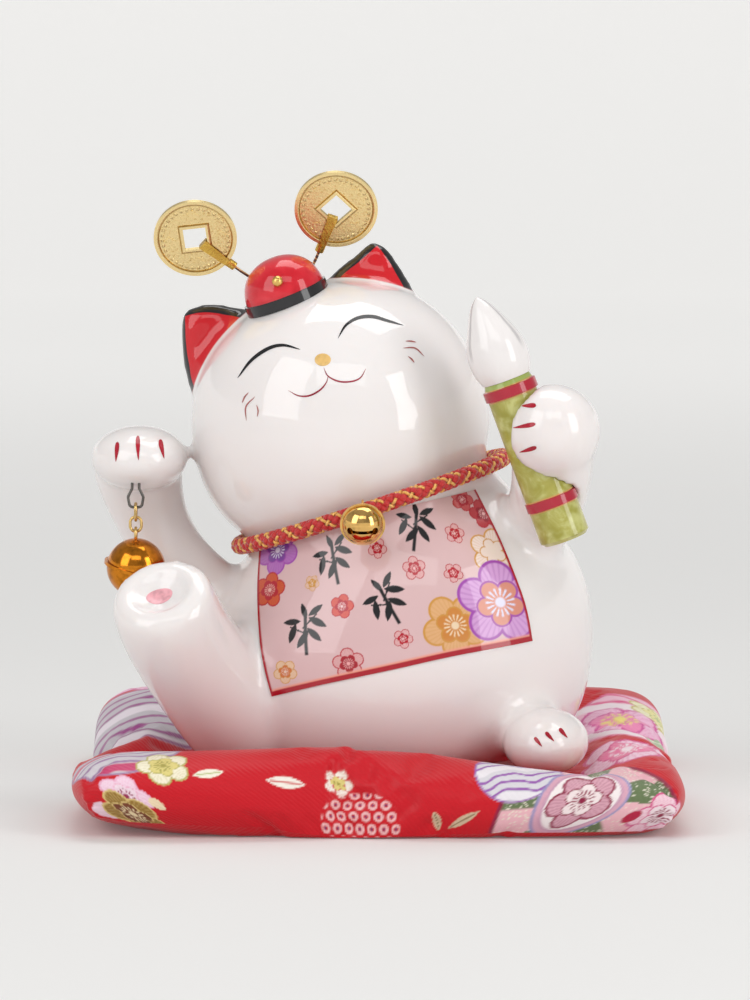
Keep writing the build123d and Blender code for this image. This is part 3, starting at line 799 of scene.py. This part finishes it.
# The stems and leaves of a spray: place, turn and half length
SPRAY_STEMS = ((0.0, -0.6, 78, 7.6), (2.2, 2.6, 30, 3.4), (-2.2, 0.8, 142, 3.2))
SPRAY_LEAVES = (
    (-4.2, 0.4, 238, 3.3), (-1.4, -2.4, 222, 3.4), (4.6, 1.6, -42, 3.5), (2.6, -2.0, -58, 3.3),
    (-3.6, 4.0, 168, 3.0), (4.8, 5.4, 22, 3.0), (1.0, 6.2, 96, 2.8),
)


BORDER_SIDE, BORDER_LOW, BORDER_GLOW = 0.75, 1.7, 2.3


def print_bib(pattern):
    """Flowers, four sprays of ink leaves and a red border on pale pink."""
    flat = Print(pattern, PALE)
    for centre, radius, turn, *colours in BIB_FLOWERS:
        flat.stamp(blossom, centre, radius, turn, *colours)
    parts = [(twig, *stem) for stem in SPRAY_STEMS] + [(leaf, *blade) for blade in SPRAY_LEAVES]
    for (x, y), turn in INK_SPRAYS:
        for motif, dx, dy, lean, length in parts:
            dx, dy = turned(dx, dy, turn)
            flat.stamp(motif, (x + dx, y + dy), length, turn + lean, BLACK, BLACK)
    flat.mix(below(flat.y, BORDER_GLOW, 0.5), (0.84, 0.34, 0.25))
    sides = np.maximum(below(flat.x, BORDER_SIDE, 0.12), ramp(flat.x, BIB_SIZE[0] - BORDER_SIDE, 0.12))
    flat.mix(np.maximum(sides, below(flat.y, BORDER_LOW, 0.12)), (0.40, 0.006, 0.018))
    return flat


bib_piece, bib_pattern = bib()
print_bib(bib_pattern).laid_on(bib_piece)
bib_look = glazed("bib_print", PALE, coat=0.8)
bib_look.printed()
finished(bib_piece, "cat", bib_look.material)


# ---- Materials of the CAD pieces ----

def dress(nodes, look):
    """Gives CAD pieces a material."""
    for name in nodes:
        for slot in NODES[name].material_slots:
            slot.material = look.material


def metal(name, colour, roughness, relief=0.0, scale=2.0, tarnish=(0.5, 0.5, 0.5)):
    """Plated metal with a faintly mottled polish."""
    look = Look(name, colour, Metallic=1.0, Roughness=roughness)
    dark = tuple(c * t for c, t in zip(colour, tarnish))
    look.mix(look.noise(scale * 0.25, 4.0).step(0.62, 0.22), dark)
    look.set("Roughness", look.noise(scale, 3.0) * 0.12 + (roughness - 0.05))
    if relief:
        look.bump(look.noise(scale * 1.6, 5.0, 0.65), relief)
    return look


# Along the brush from its end: the middle and half-width of each red band, where the rim starts, and the creases
BRUSH_BANDS, BRUSH_RIM, CREASE_START = ((11.7, 1.45), (45.2, 1.55)), 47.0, 57.0
CAP_BAND = 2.75


def brush_look():
    """Mottled green glaze with two red bands and a greener rim above the upper one."""
    look = glazed("green_glaze", (0.40, 0.37, 0.07))
    look.mix(look.noise(0.16, 4.0, 0.6, distortion=1.2).step(0.52, 0.14), (0.54, 0.54, 0.19))
    look.mix(look.noise(0.22, 2.0, 0.5).step(0.56, 0.14), (0.33, 0.31, 0.04))
    _, _, along = look.transformed(brush_frame())
    drift = look.noise(0.2, 2.0) * 0.5 - 0.25
    for middle, half in BRUSH_BANDS:
        off = abs(along - middle + drift)
        look.mix(off.below(half + 0.35, 0.1), (0.62, 0.30, 0.10))
        look.mix(off.below(half, 0.08), (0.42, 0.010, 0.030))
    look.mix(along.step(BRUSH_RIM, 0.1), (0.34, 0.42, 0.10))
    return look


def cap_look():
    """Red glaze over a black band."""
    look = glazed("red_glaze", (0.58, 0.004, 0.016))
    look.mix(look.noise(0.15, 3.0).step(0.55, 0.2), (0.70, 0.02, 0.035))
    _, _, z = look.transformed(CAP)
    look.mix(z.below(CAP_BAND, 0.08), BLACK)
    return look


def tuft_look():
    """White glaze with a few creases that run to the tip, each dented in and darkened with painted grey shade."""
    look = glazed("tuft_glaze", WHITE, specular=0.12)
    x, y, z = look.transformed(brush_frame())
    angle = x.math("ARCTAN2", y)
    crease = (angle * 3.0 + look.noise(0.12, 2.0) * 0.6 + 1.25).math("SINE")
    line = crease.step(0.965, 0.03) * z.step(CREASE_START, 2.0)
    # painted shade: the creases are darkened grey where shade would fall in them
    look.mix(line * 0.55, (0.35, 0.33, 0.34))
    look.bump(line * -1.0, 0.15)
    return look


def wire_look():
    """Dark wire with a gold strand twisted round it."""
    look = Look("wire_dark", (0.20, 0.13, 0.10), Metallic=1.0, Roughness=0.35)
    x, _, z = look.transformed(Matrix.Identity(4))
    look.mix(((x + z * 1.6) * 2.6).math("SINE").step(0.45, 0.3), (0.78, 0.56, 0.30))
    return look


def rubber_look():
    """Matt off-white rubber, a little yellowed in places."""
    look = Look("rubber_white", (0.72, 0.72, 0.68), Roughness=0.7)
    look.mix(look.noise(0.2, 4.0).step(0.55, 0.2), (0.66, 0.62, 0.52))
    look.bump(look.noise(1.2, 3.0), 0.05)
    return look


# Centre of each coin and turn of its square hole
COINS = {"left_coin": ((-53.0, 3.2, 161.6), 7.0), "right_coin": ((-12.4, 3.2, 170.0), 44.0)}
# The lean of both from upright, the radius of the rim's inner edge and of the pearls, and the frame's half side
COIN_LEAN, COIN_RIM, COIN_PEARLS, COIN_FRAME = -24.0, 10.7, 9.5, 4.3


def coin_look(name):
    """Pale stamped gold: a grained field, with painted shade in the corners below the rim and round the frame of the
    hole.
    """
    centre, turn = COINS[name]
    lean, angle = math.radians(COIN_LEAN), math.radians(turn)
    out = Vector((0, -math.cos(lean), math.sin(lean)))
    level = Vector((1, 0, 0))
    across = level * math.cos(angle) + out.cross(level) * math.sin(angle)
    look = Look(f"{name}_gold", (0.93, 0.74, 0.36), Metallic=1.0, Roughness=0.3)
    x, y, _ = look.transformed(frame_of(centre, across, out.cross(across), out))
    radius = (x * x + y * y).math("SQRT")
    square = abs(x).math("MAXIMUM", abs(y))
    field = radius.below(COIN_RIM, 0.15) * square.step(COIN_FRAME, 0.15)
    grain = look.noise(1.5, 4.0, 0.65)
    look.mix(field * grain.step(0.60, 0.08) * 0.75, (0.66, 0.44, 0.14))
    # painted shade: dark lines where the rim and the hole's frame meet the field, which also sink a little in the bump
    edge = abs(radius - COIN_RIM).below(0.22, 0.16) + abs(square - COIN_FRAME).below(0.2, 0.14)
    look.mix(edge.math("MINIMUM", 1.0) * 0.6, (0.42, 0.24, 0.06))
    pearls = (x.math("ARCTAN2", y) * 36.0).math("SINE").step(0.2, 0.3) * abs(radius - COIN_PEARLS).below(0.32, 0.12)
    look.bump(grain * field * 0.6 + pearls * 0.8 - edge * 0.4, 0.3)
    look.set("Roughness", look.noise(2.0, 3.0) * 0.14 + 0.22)
    return look


dress(["cap_casting"], cap_look())
dress(["cap_stud"], metal("stud_gold", (0.80, 0.52, 0.16), 0.3))
dress(["brush_handle"], brush_look())
dress(["brush_head"], tuft_look())
dress(["base_stopper"], rubber_look())
dress(["collar_bell_upper", "collar_bell_lower", "collar_bell_shank"], metal("bell_brass", (0.82, 0.50, 0.16), 0.1))
dress(["hand_bell_upper", "hand_bell_lower"], metal("bell_amber", (0.66, 0.23, 0.02), 0.12))
dress(["chain_link_1", "chain_link_2", "hand_bell_shank"], metal("link_gold", (0.72, 0.50, 0.20), 0.22))
dress(["paw_eye", "hand_bell_pea", "collar_bell_pea"], metal("steel_wire", (0.15, 0.14, 0.13), 0.25))
for coin in COINS:
    dress([coin], coin_look(coin))
dress(["left_coin_clip", "right_coin_clip"],
      metal("clip_gold", (0.74, 0.48, 0.10), 0.22, relief=0.3, scale=0.5, tarnish=(0.6, 0.5, 0.3)))
dress(["left_coin_wire", "right_coin_wire"], wire_look())


# ---- The braided collar ----

COLLAR_RADIUS = 40.4
BRAID_TURNS, BRAID_STRANDS, GOLD_STRANDS = 21, 5, (0, 2)
# How far out in the cord a strand runs, how far it weaves in and out, and half its depth and its widths
STRAND_REACH, STRAND_WEAVE, STRAND_DEPTH, RED_WIDTH, GOLD_WIDTH = 1.62, 0.34, 0.42, 0.95, 0.5
STRAND_STEPS, STRAND_SIDES = 1512, 6


def strand(name, number, direction, look, slot, width):
    """One strand of the braid, passing over and under the strands that run the other way."""
    s = np.linspace(0, 2 * math.pi, STRAND_STEPS, endpoint=False)
    twist = direction * BRAID_TURNS * s + 2 * math.pi * number / BRAID_STRANDS
    weave = np.cos(BRAID_STRANDS * BRAID_TURNS * s)
    reach = STRAND_REACH + STRAND_WEAVE * weave * direction
    radial, up = reach * np.cos(twist), reach * np.sin(twist) * 1.05
    ring = COLLAR_RADIUS + radial
    centre = np.stack([ring * np.sin(s), -ring * np.cos(s), up], 1)
    along = np.gradient(np.vstack([centre[-1:], centre, centre[:1]]), axis=0)[1:-1]
    along /= np.linalg.norm(along, axis=1)[:, None]
    core = np.stack([COLLAR_RADIUS * np.sin(s), -COLLAR_RADIUS * np.cos(s), 0 * s], 1)
    out = centre - core
    out -= along * np.einsum("ij,ij->i", out, along)[:, None]
    out /= np.linalg.norm(out, axis=1)[:, None]
    wide = np.cross(along, out)
    angles = 2 * math.pi * np.arange(STRAND_SIDES) / STRAND_SIDES
    rounds = [centre + out * STRAND_DEPTH * math.cos(a) + wide * width * math.sin(a) for a in angles]
    points = np.stack(rounds, 1).reshape(-1, 3)
    faces = grid_faces(STRAND_STEPS + 1, STRAND_SIDES, closed=True)
    faces = [tuple(i % len(points) for i in face) for face in faces]
    piece = new_piece(name, [NECK @ Vector(p) for p in points], faces)
    return finished(piece, "cat", look.material)


def thread_look(name, colour, bright, **sockets):
    """Silky thread: fine fibres along the strand."""
    look = Look(name, colour, Roughness=0.45, Sheen_Weight=0.3, **sockets)
    fibre = look.noise(1.6, 4.0, 0.7)
    look.mix(fibre.step(0.58, 0.12), bright)
    look.bump(fibre, 0.12)
    return look


red_thread = thread_look("cord_red", (0.50, 0.006, 0.008), (0.66, 0.03, 0.02)), "cord_red", RED_WIDTH
gold_thread = thread_look("cord_gold", (0.80, 0.42, 0.10), (0.90, 0.62, 0.26), Metallic=0.6), "cord_gold", GOLD_WIDTH
for direction, label in ((1, "right"), (-1, "left")):
    for number in range(BRAID_STRANDS):
        thread = gold_thread if number in GOLD_STRANDS else red_thread
        strand(f"collar_{label}_strand_{number + 1}", number, direction, *thread)
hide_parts("collar_cord")


# ---- The cushion ----

# Half the width, radius of the round rim and height of its middle, and how far round the rim the top panel goes
HALF_SIDE, RIM, MIDDLE, TOP_WRAP = 85.5, 8.6, 9.0, 2.7
TOP_SIDE = 2 * (HALF_SIDE - RIM + RIM * TOP_WRAP)
BOTTOM_SIDE = 2 * (HALF_SIDE - RIM + RIM * (math.pi - TOP_WRAP))
PANEL_CELLS = 64
# The power of the rounded square that each panel's outline is, and the panels' clearance below the cat
CORNER_POWER, CAT_GAP = 9, 0.9
# The cloth is simulated ten times as large, where the solver's fixed distances are small against it
SIM_SCALE, SIM_FRAMES, SITTER_GRAIN, GROUND_HALF, SIM_CONTACT = 10.0, 24, 2.6, 200, 0.008
CLOTH = {
    "quality": 8, "mass": 0.25, "tension_stiffness": 25, "compression_stiffness": 25, "shear_stiffness": 12,
    "bending_stiffness": 0.6, "shrink_min": -0.02, "use_pressure": True, "uniform_pressure_force": 0.3,
    "air_damping": 4,
}
# Stuffing stands lower than air would, so the filled panels are pressed down to this height
CUSHION_HEIGHT = 23.5
# How far up the underside is flat on the table
FLATTENED = 4.2
# Points across each finished panel, and up it: those of its fine front part, how far that goes, and the rest
PANEL_COLUMNS = 381
TOP_ROWS, BOTTOM_ROWS = (130, 0.3, 124), (30, 0.1, 60)


def panel_net():
    """A square net with rounded corners: its flat points and each point's level from the middle to the seam."""
    line = np.linspace(-1, 1, PANEL_CELLS + 1)
    u, v = np.meshgrid(line, line)
    level = np.maximum(np.abs(u), np.abs(v))
    rim = np.maximum(level, 1e-9)
    square = (np.abs(u) / rim) ** CORNER_POWER + (np.abs(v) / rim) ** CORNER_POWER
    pull = 1 / np.maximum(square, 1) ** (1 / CORNER_POWER)
    grow = 1 + (pull - 1) * level ** 3
    return u * grow, v * grow, level


def wrapped(side, wrap):
    """A panel laid on the stuffing and folded down over its round rim: X, Y and height above the rim's middle."""
    u, v, level = panel_net()
    arc = level * side / 2
    bend = np.clip((arc - (HALF_SIDE - RIM)) / RIM, 0, wrap)
    reach = np.where(bend > 0, HALF_SIDE - RIM + RIM * np.sin(bend), arc) / np.maximum(level, 1e-9)
    return u * reach, v * reach, RIM * np.cos(bend)


def sewn_panels():
    """Two panels sewn round their edge, the top one pressed under the cat: points, quads, the bottom's indices."""
    x, y, rise = wrapped(TOP_SIDE, TOP_WRAP)
    roof = np.full(x.shape, 1e3)
    for row, column in np.ndindex(x.shape):
        spot = front.tree.ray_cast(Vector((x[row, column], y[row, column], 0)), Vector((0, 0, 1)))[0]
        if spot:
            roof[row, column] = spot.z - CAT_GAP
    high = np.minimum(MIDDLE + rise, roof)
    inner = slice(1, -1)
    for _ in range(3):
        high[inner, inner] = (high[:-2, inner] + high[2:, inner] + high[inner, :-2] + high[inner, 2:]) / 4
        high = np.minimum(high, roof)
    below_x, below_y, fall = wrapped(BOTTOM_SIDE, math.pi - TOP_WRAP)
    low = np.maximum(MIDDLE - fall, 0.3)
    _, _, level = panel_net()
    border = level.reshape(-1) > 1 - 1e-6
    count = x.size
    twin = np.where(border, np.arange(count), 0)
    twin[~border] = count + np.arange((~border).sum())
    faces = grid_faces(PANEL_CELLS + 1, PANEL_CELLS + 1)
    faces += [tuple(int(twin[i]) for i in reversed(f)) for f in faces]
    top = np.stack([x, y, high], -1).reshape(-1, 3)
    bottom = np.stack([below_x, below_y, low], -1).reshape(-1, 3)
    return np.vstack([top, bottom[~border]]), faces, twin


def simulated(points, faces):
    """The panels after air pressure has filled them between the floor and the sitting cat."""
    cloth = new_piece("cloth", points * SIM_SCALE, faces)
    sitter = one_skin("sitter", ["body_casting"], SITTER_GRAIN)
    sitter.data.transform(Matrix.Scale(SIM_SCALE, 4))
    corners = np.array([(-1, -1, 0), (1, -1, 0), (1, 1, 0), (-1, 1, 0)]) * GROUND_HALF
    ground = new_piece("ground", corners * SIM_SCALE, [(0, 1, 2, 3)])
    for solid in (sitter, ground):
        bump = solid.modifiers.new("collision", "COLLISION")
        bump.settings.thickness_outer = SIM_CONTACT
        bump.settings.cloth_friction = 3.0
    sheet = cloth.modifiers.new("cloth", "CLOTH")
    for setting, value in CLOTH.items():
        setattr(sheet.settings, setting, value)
    sheet.settings.effector_weights.gravity = 0
    sheet.collision_settings.collision_quality = 3
    sheet.collision_settings.distance_min = SIM_CONTACT
    sheet.point_cache.frame_end = SIM_FRAMES
    for step in range(1, SIM_FRAMES + 1):
        SCENE.frame_set(step)
    settled = positions(evaluated(cloth)) / SIM_SCALE
    for solid in (cloth, sitter, ground):
        bpy.data.objects.remove(solid)
    SCENE.frame_set(1)
    return settled


def cushion():
    """The two panels, finely meshed, with their flat pattern."""
    points, faces, twin = sewn_panels()
    points = simulated(points, faces)
    high = np.maximum(points[:, 2] - points[:, 2].min() - FLATTENED, 0)
    points[:, 2] = high * CUSHION_HEIGHT / high.max()
    n = PANEL_CELLS + 1
    u, v, _ = panel_net()
    columns = np.linspace(0, 1, PANEL_COLUMNS)
    pieces = []
    for name, index, side, (fine, dense, coarse) in (
        ("cushion_top_panel", np.arange(n * n), TOP_SIDE, TOP_ROWS),
        ("cushion_bottom_panel", twin, BOTTOM_SIDE, BOTTOM_ROWS),
    ):
        flat = np.stack([u, v], -1) * side / 2
        net = points[index].reshape(n, n, 3)
        rows = np.r_[np.linspace(0, dense, fine, endpoint=False), np.linspace(dense, 1, coarse)]
        net = resampled(resampled(net, rows, 0), columns, 1)
        pattern = resampled(resampled(flat, rows, 0), columns, 1).reshape(-1, 2)
        quads = grid_faces(len(rows), len(columns))
        if name == "cushion_bottom_panel":
            quads = [f[::-1] for f in quads]
        pieces.append((new_piece(name, net.reshape(-1, 3), quads), pattern))
    return pieces


SCARLET, WINE = (0.56, 0.002, 0.011), (0.26, 0.01, 0.05)
# Colours that a motif has in several places
LILAC = (0.60, 0.56, 0.60), (0.34, 0.20, 0.36), (0.55, 0.05, 0.15)
PEONY = (0.84, 0.50, 0.66), (0.60, 0.08, 0.30), (0.80, 0.25, 0.45), (0.80, 0.70, 0.20)
BROCADE = (0.13, 0.18, 0.08), (0.80, 0.45, 0.50), (0.80, 0.74, 0.62), WINE
CREST = (0.66, 0.36, 0.44), WINE, (0.86, 0.74, 0.74), WINE
PLUM_PINK = (0.86, 0.62, 0.74), (0.80, 0.40, 0.55), (0.84, 0.66, 0.74), (0.3, 0.02, 0.08)
BRONZE = (0.30, 0.17, 0.03), (0.70, 0.52, 0.20), (0.18, 0.05, 0.02), (0.80, 0.66, 0.40)
DRY_LEAF, GREEN_LEAF = ((0.62, 0.48, 0.32), (0.20, 0.14, 0.06)), ((0.40, 0.50, 0.32), (0.75, 0.78, 0.6))
TIE_DYE = (0.84, 0.50, 0.50), (0.1, 0.03, 0.15)
TOP_MOTIFS = (
    # motif, place in the flat pattern, radius, turn, colours
    (waves, (-82, 26), 38, 8, (0.50, 0.46, 0.50), (0.30, 0.06, 0.22), (0.74, 0.66, 0.72)),
    (waves, (-72, -66), 17, 14, *LILAC),
    (waves, (86, 26), 34, -30, (0.84, 0.50, 0.62), (0.72, 0.10, 0.25), (0.86, 0.74, 0.78)),
    (blossom, (72, 22), 17, 12, *PEONY),
    (blossom, (85, 44), 11, 40, (0.84, 0.80, 0.55), (0.55, 0.45, 0.10), (0.80, 0.72, 0.30), (0.4, 0.5, 0.2)),
    (leaf, (84, 8), 9, 60, *GREEN_LEAF),
    (blossom, (72, -26), 16, 30, (0.86, 0.60, 0.72), (0.62, 0.06, 0.22), (0.78, 0.20, 0.36), (0.86, 0.74, 0.78)),
    (leaf, (62, -50), 10, -20, *GREEN_LEAF),
    (speckled, (60, -90), 25, 20, *BROCADE),
    (waves, (38, -78), 12, 15, (0.66, 0.64, 0.68), (0.30, 0.10, 0.40), (0.8, 0.76, 0.8)),
    (disc, (58, -89), 12.8, 0, (0.66, 0.36, 0.46), (0.30, 0.28, 0.50)),
    (disc, (58, -89), 10.6, 0, (0.86, 0.78, 0.78), (0.55, 0.30, 0.42)),
    (blossom, (58, -89), 9.4, 15, *CREST),
    (blossom, (85, -90), 9, 25, (0.86, 0.60, 0.68), (0.62, 0.06, 0.22), (0.84, 0.70, 0.74), WINE),
    (disc, (77, -93), 2.4, 0, (0.45, 0.01, 0.05), (0.60, 0.30, 0.35)),
    (rings, (-6, -98), 13, 0, *TIE_DYE),
    (leaf, (18.5, -96), 3.6, 118, *DRY_LEAF),
    (leaf, (26.5, -95.5), 4.6, 38, *DRY_LEAF),
    (blossom, (-74.5, -90), 7.2, 20, *PLUM_PINK),
    (disc, (-86, -92), 3.4, 0, (0.84, 0.62, 0.72), (0.80, 0.45, 0.55)),
    (blossom, (-79, -95.5), 8.2, 50, *BRONZE),
    (disc, (-67.5, -93), 1.9, 0, (0.84, 0.68, 0.45), (0.84, 0.68, 0.45)),
    (blossom, (-60, -80), 7.5, 0, (0.86, 0.80, 0.62), (0.45, 0.40, 0.10), (0.7, 0.6, 0.2), (0.35, 0.3, 0.05)),
    (leaf, (-48, -83), 4.5, 10, (0.86, 0.80, 0.68), (0.45, 0.50, 0.20)),
    (blossom, (-12, -84), 4.6, 30, (0.86, 0.80, 0.72), (0.60, 0.10, 0.10), (0.7, 0.6, 0.2), (0.35, 0.3, 0.05)),
    (leaf, (-27, -85), 5.5, 175, (0.86, 0.80, 0.72), (0.60, 0.10, 0.10)),
    # The sides and the back, which the photograph hides
    (rings, (-93, -22), 13, 90, *TIE_DYE),
    (blossom, (-70, 78), 16, 30, *PEONY),
    (blossom, (-88, 92), 9, 10, *BRONZE),
    (leaf, (-50, 92), 8, 20, *DRY_LEAF),
    (rings, (-24, 94), 15, 180, *TIE_DYE),
    (speckled, (24, 88), 24, 60, *BROCADE),
    (disc, (24, 90), 11, 0, (0.86, 0.78, 0.78), (0.30, 0.28, 0.50)),
    (blossom, (24, 90), 9, 40, *CREST),
    (blossom, (76, 90), 12, 50, *PLUM_PINK),
    (leaf, (58, 78), 8, -40, *DRY_LEAF),
    (leaf, (93, -58), 7, 80, *DRY_LEAF),
    (blossom, (0, 0), 26, 0, *PEONY),
    (waves, (-24, 58), 20, -12, *LILAC),
)
BOTTOM_MOTIFS = (
    (waves, (-34, 28), 24, -20, *LILAC),
    (blossom, (30, 36), 18, 10, *PEONY),
    (speckled, (-30, -38), 22, 30, *BROCADE),
    (blossom, (-30, -38), 11, 0, *CREST),
    (rings, (38, -30), 18, 45, *TIE_DYE),
    (blossom, (0, 2), 12, 25, *BRONZE),
)


def cloth_look():
    """Printed cotton with a fine diagonal weave."""
    look = Look("cushion_print", SCARLET, Roughness=0.42, Specular_IOR_Level=0.3, Sheen_Weight=0.08,
                Sheen_Roughness=0.4)
    look.printed()
    weave = look.node("ShaderNodeTexWave", wave_type="BANDS", bands_direction="DIAGONAL")
    weave.inputs["Scale"].default_value = 0.35 / MM
    weave.inputs["Distortion"].default_value = 1.5
    look.link(look.coords("UV"), weave.inputs["Vector"])
    threads = Field(look.tree, weave.outputs["Fac"])
    look.bump(threads + look.noise(0.9, 3.0), 0.05)
    return look


def print_cushion(piece, pattern, motifs):
    """Prints the motifs on a panel, and lays its weave by the flat pattern."""
    cover_print = Print(pattern, SCARLET)
    for draw, centre, radius, turn, *colours in motifs:
        cover_print.stamp(draw, centre, radius, turn, *colours)
    cover_print.laid_on(piece)
    layer = piece.data.uv_layers.new(name="pattern")
    corner = np.empty(len(piece.data.loops), int)
    piece.data.loops.foreach_get("vertex_index", corner)
    layer.data.foreach_set("uv", (pattern[corner] * MM).ravel())


cushion_look = cloth_look()
covers = cushion()
for (piece, pattern), motifs in zip(covers, (TOP_MOTIFS, BOTTOM_MOTIFS)):
    print_cushion(piece, pattern, motifs)
    finished(piece, "cushion", cushion_look.material)
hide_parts("cushion_top_cover", "cushion_filling")
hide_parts("cushion_bottom_cover")


# ---- The backdrop ----

FLOOR_RADIUS, FLOOR_BEND, FLOOR_LEVEL = 2300, 700, -0.25
NEAR_FLOOR, FAR_FLOOR = (0.72, 0.715, 0.705), (0.90, 0.895, 0.885)
# Where the floor turns to the far colour, over what width, and how much each part glows
FLOOR_CHANGE, FLOOR_CHANGE_SOFT, NEAR_GLOW, FAR_GLOW = 1000, 800, 0.08, 0.28


def backdrop():
    """A pale round floor whose edge sweeps up all round, beyond the camera and the lights."""
    turns = np.linspace(0, 2 * math.pi, 96, endpoint=False)
    outline = [(60, 0), (900, 0)]
    for a in np.linspace(0, math.pi / 2, 24):
        outline.append((FLOOR_RADIUS + FLOOR_BEND * math.sin(a), FLOOR_BEND * (1 - math.cos(a))))
    points = [(r * math.cos(t), r * math.sin(t), z + FLOOR_LEVEL) for r, z in outline for t in turns]
    faces = grid_faces(len(outline), len(turns), closed=True)
    piece = new_piece("backdrop", points, [face[::-1] for face in faces] + [tuple(range(len(turns)))])
    look = Look("backdrop", NEAR_FLOOR, Roughness=0.8)
    x, y, _ = look.transformed(Matrix.Identity(4))
    far = (x * x + y * y).math("SQRT").step(FLOOR_CHANGE, FLOOR_CHANGE_SOFT)
    look.mix(far, FAR_FLOOR)
    look.shader.inputs["Emission Color"].default_value = (*FAR_FLOOR, 1)
    look.set("Emission Strength", far * FAR_GLOW + NEAR_GLOW)
    piece.data.materials.append(look.material)


backdrop()
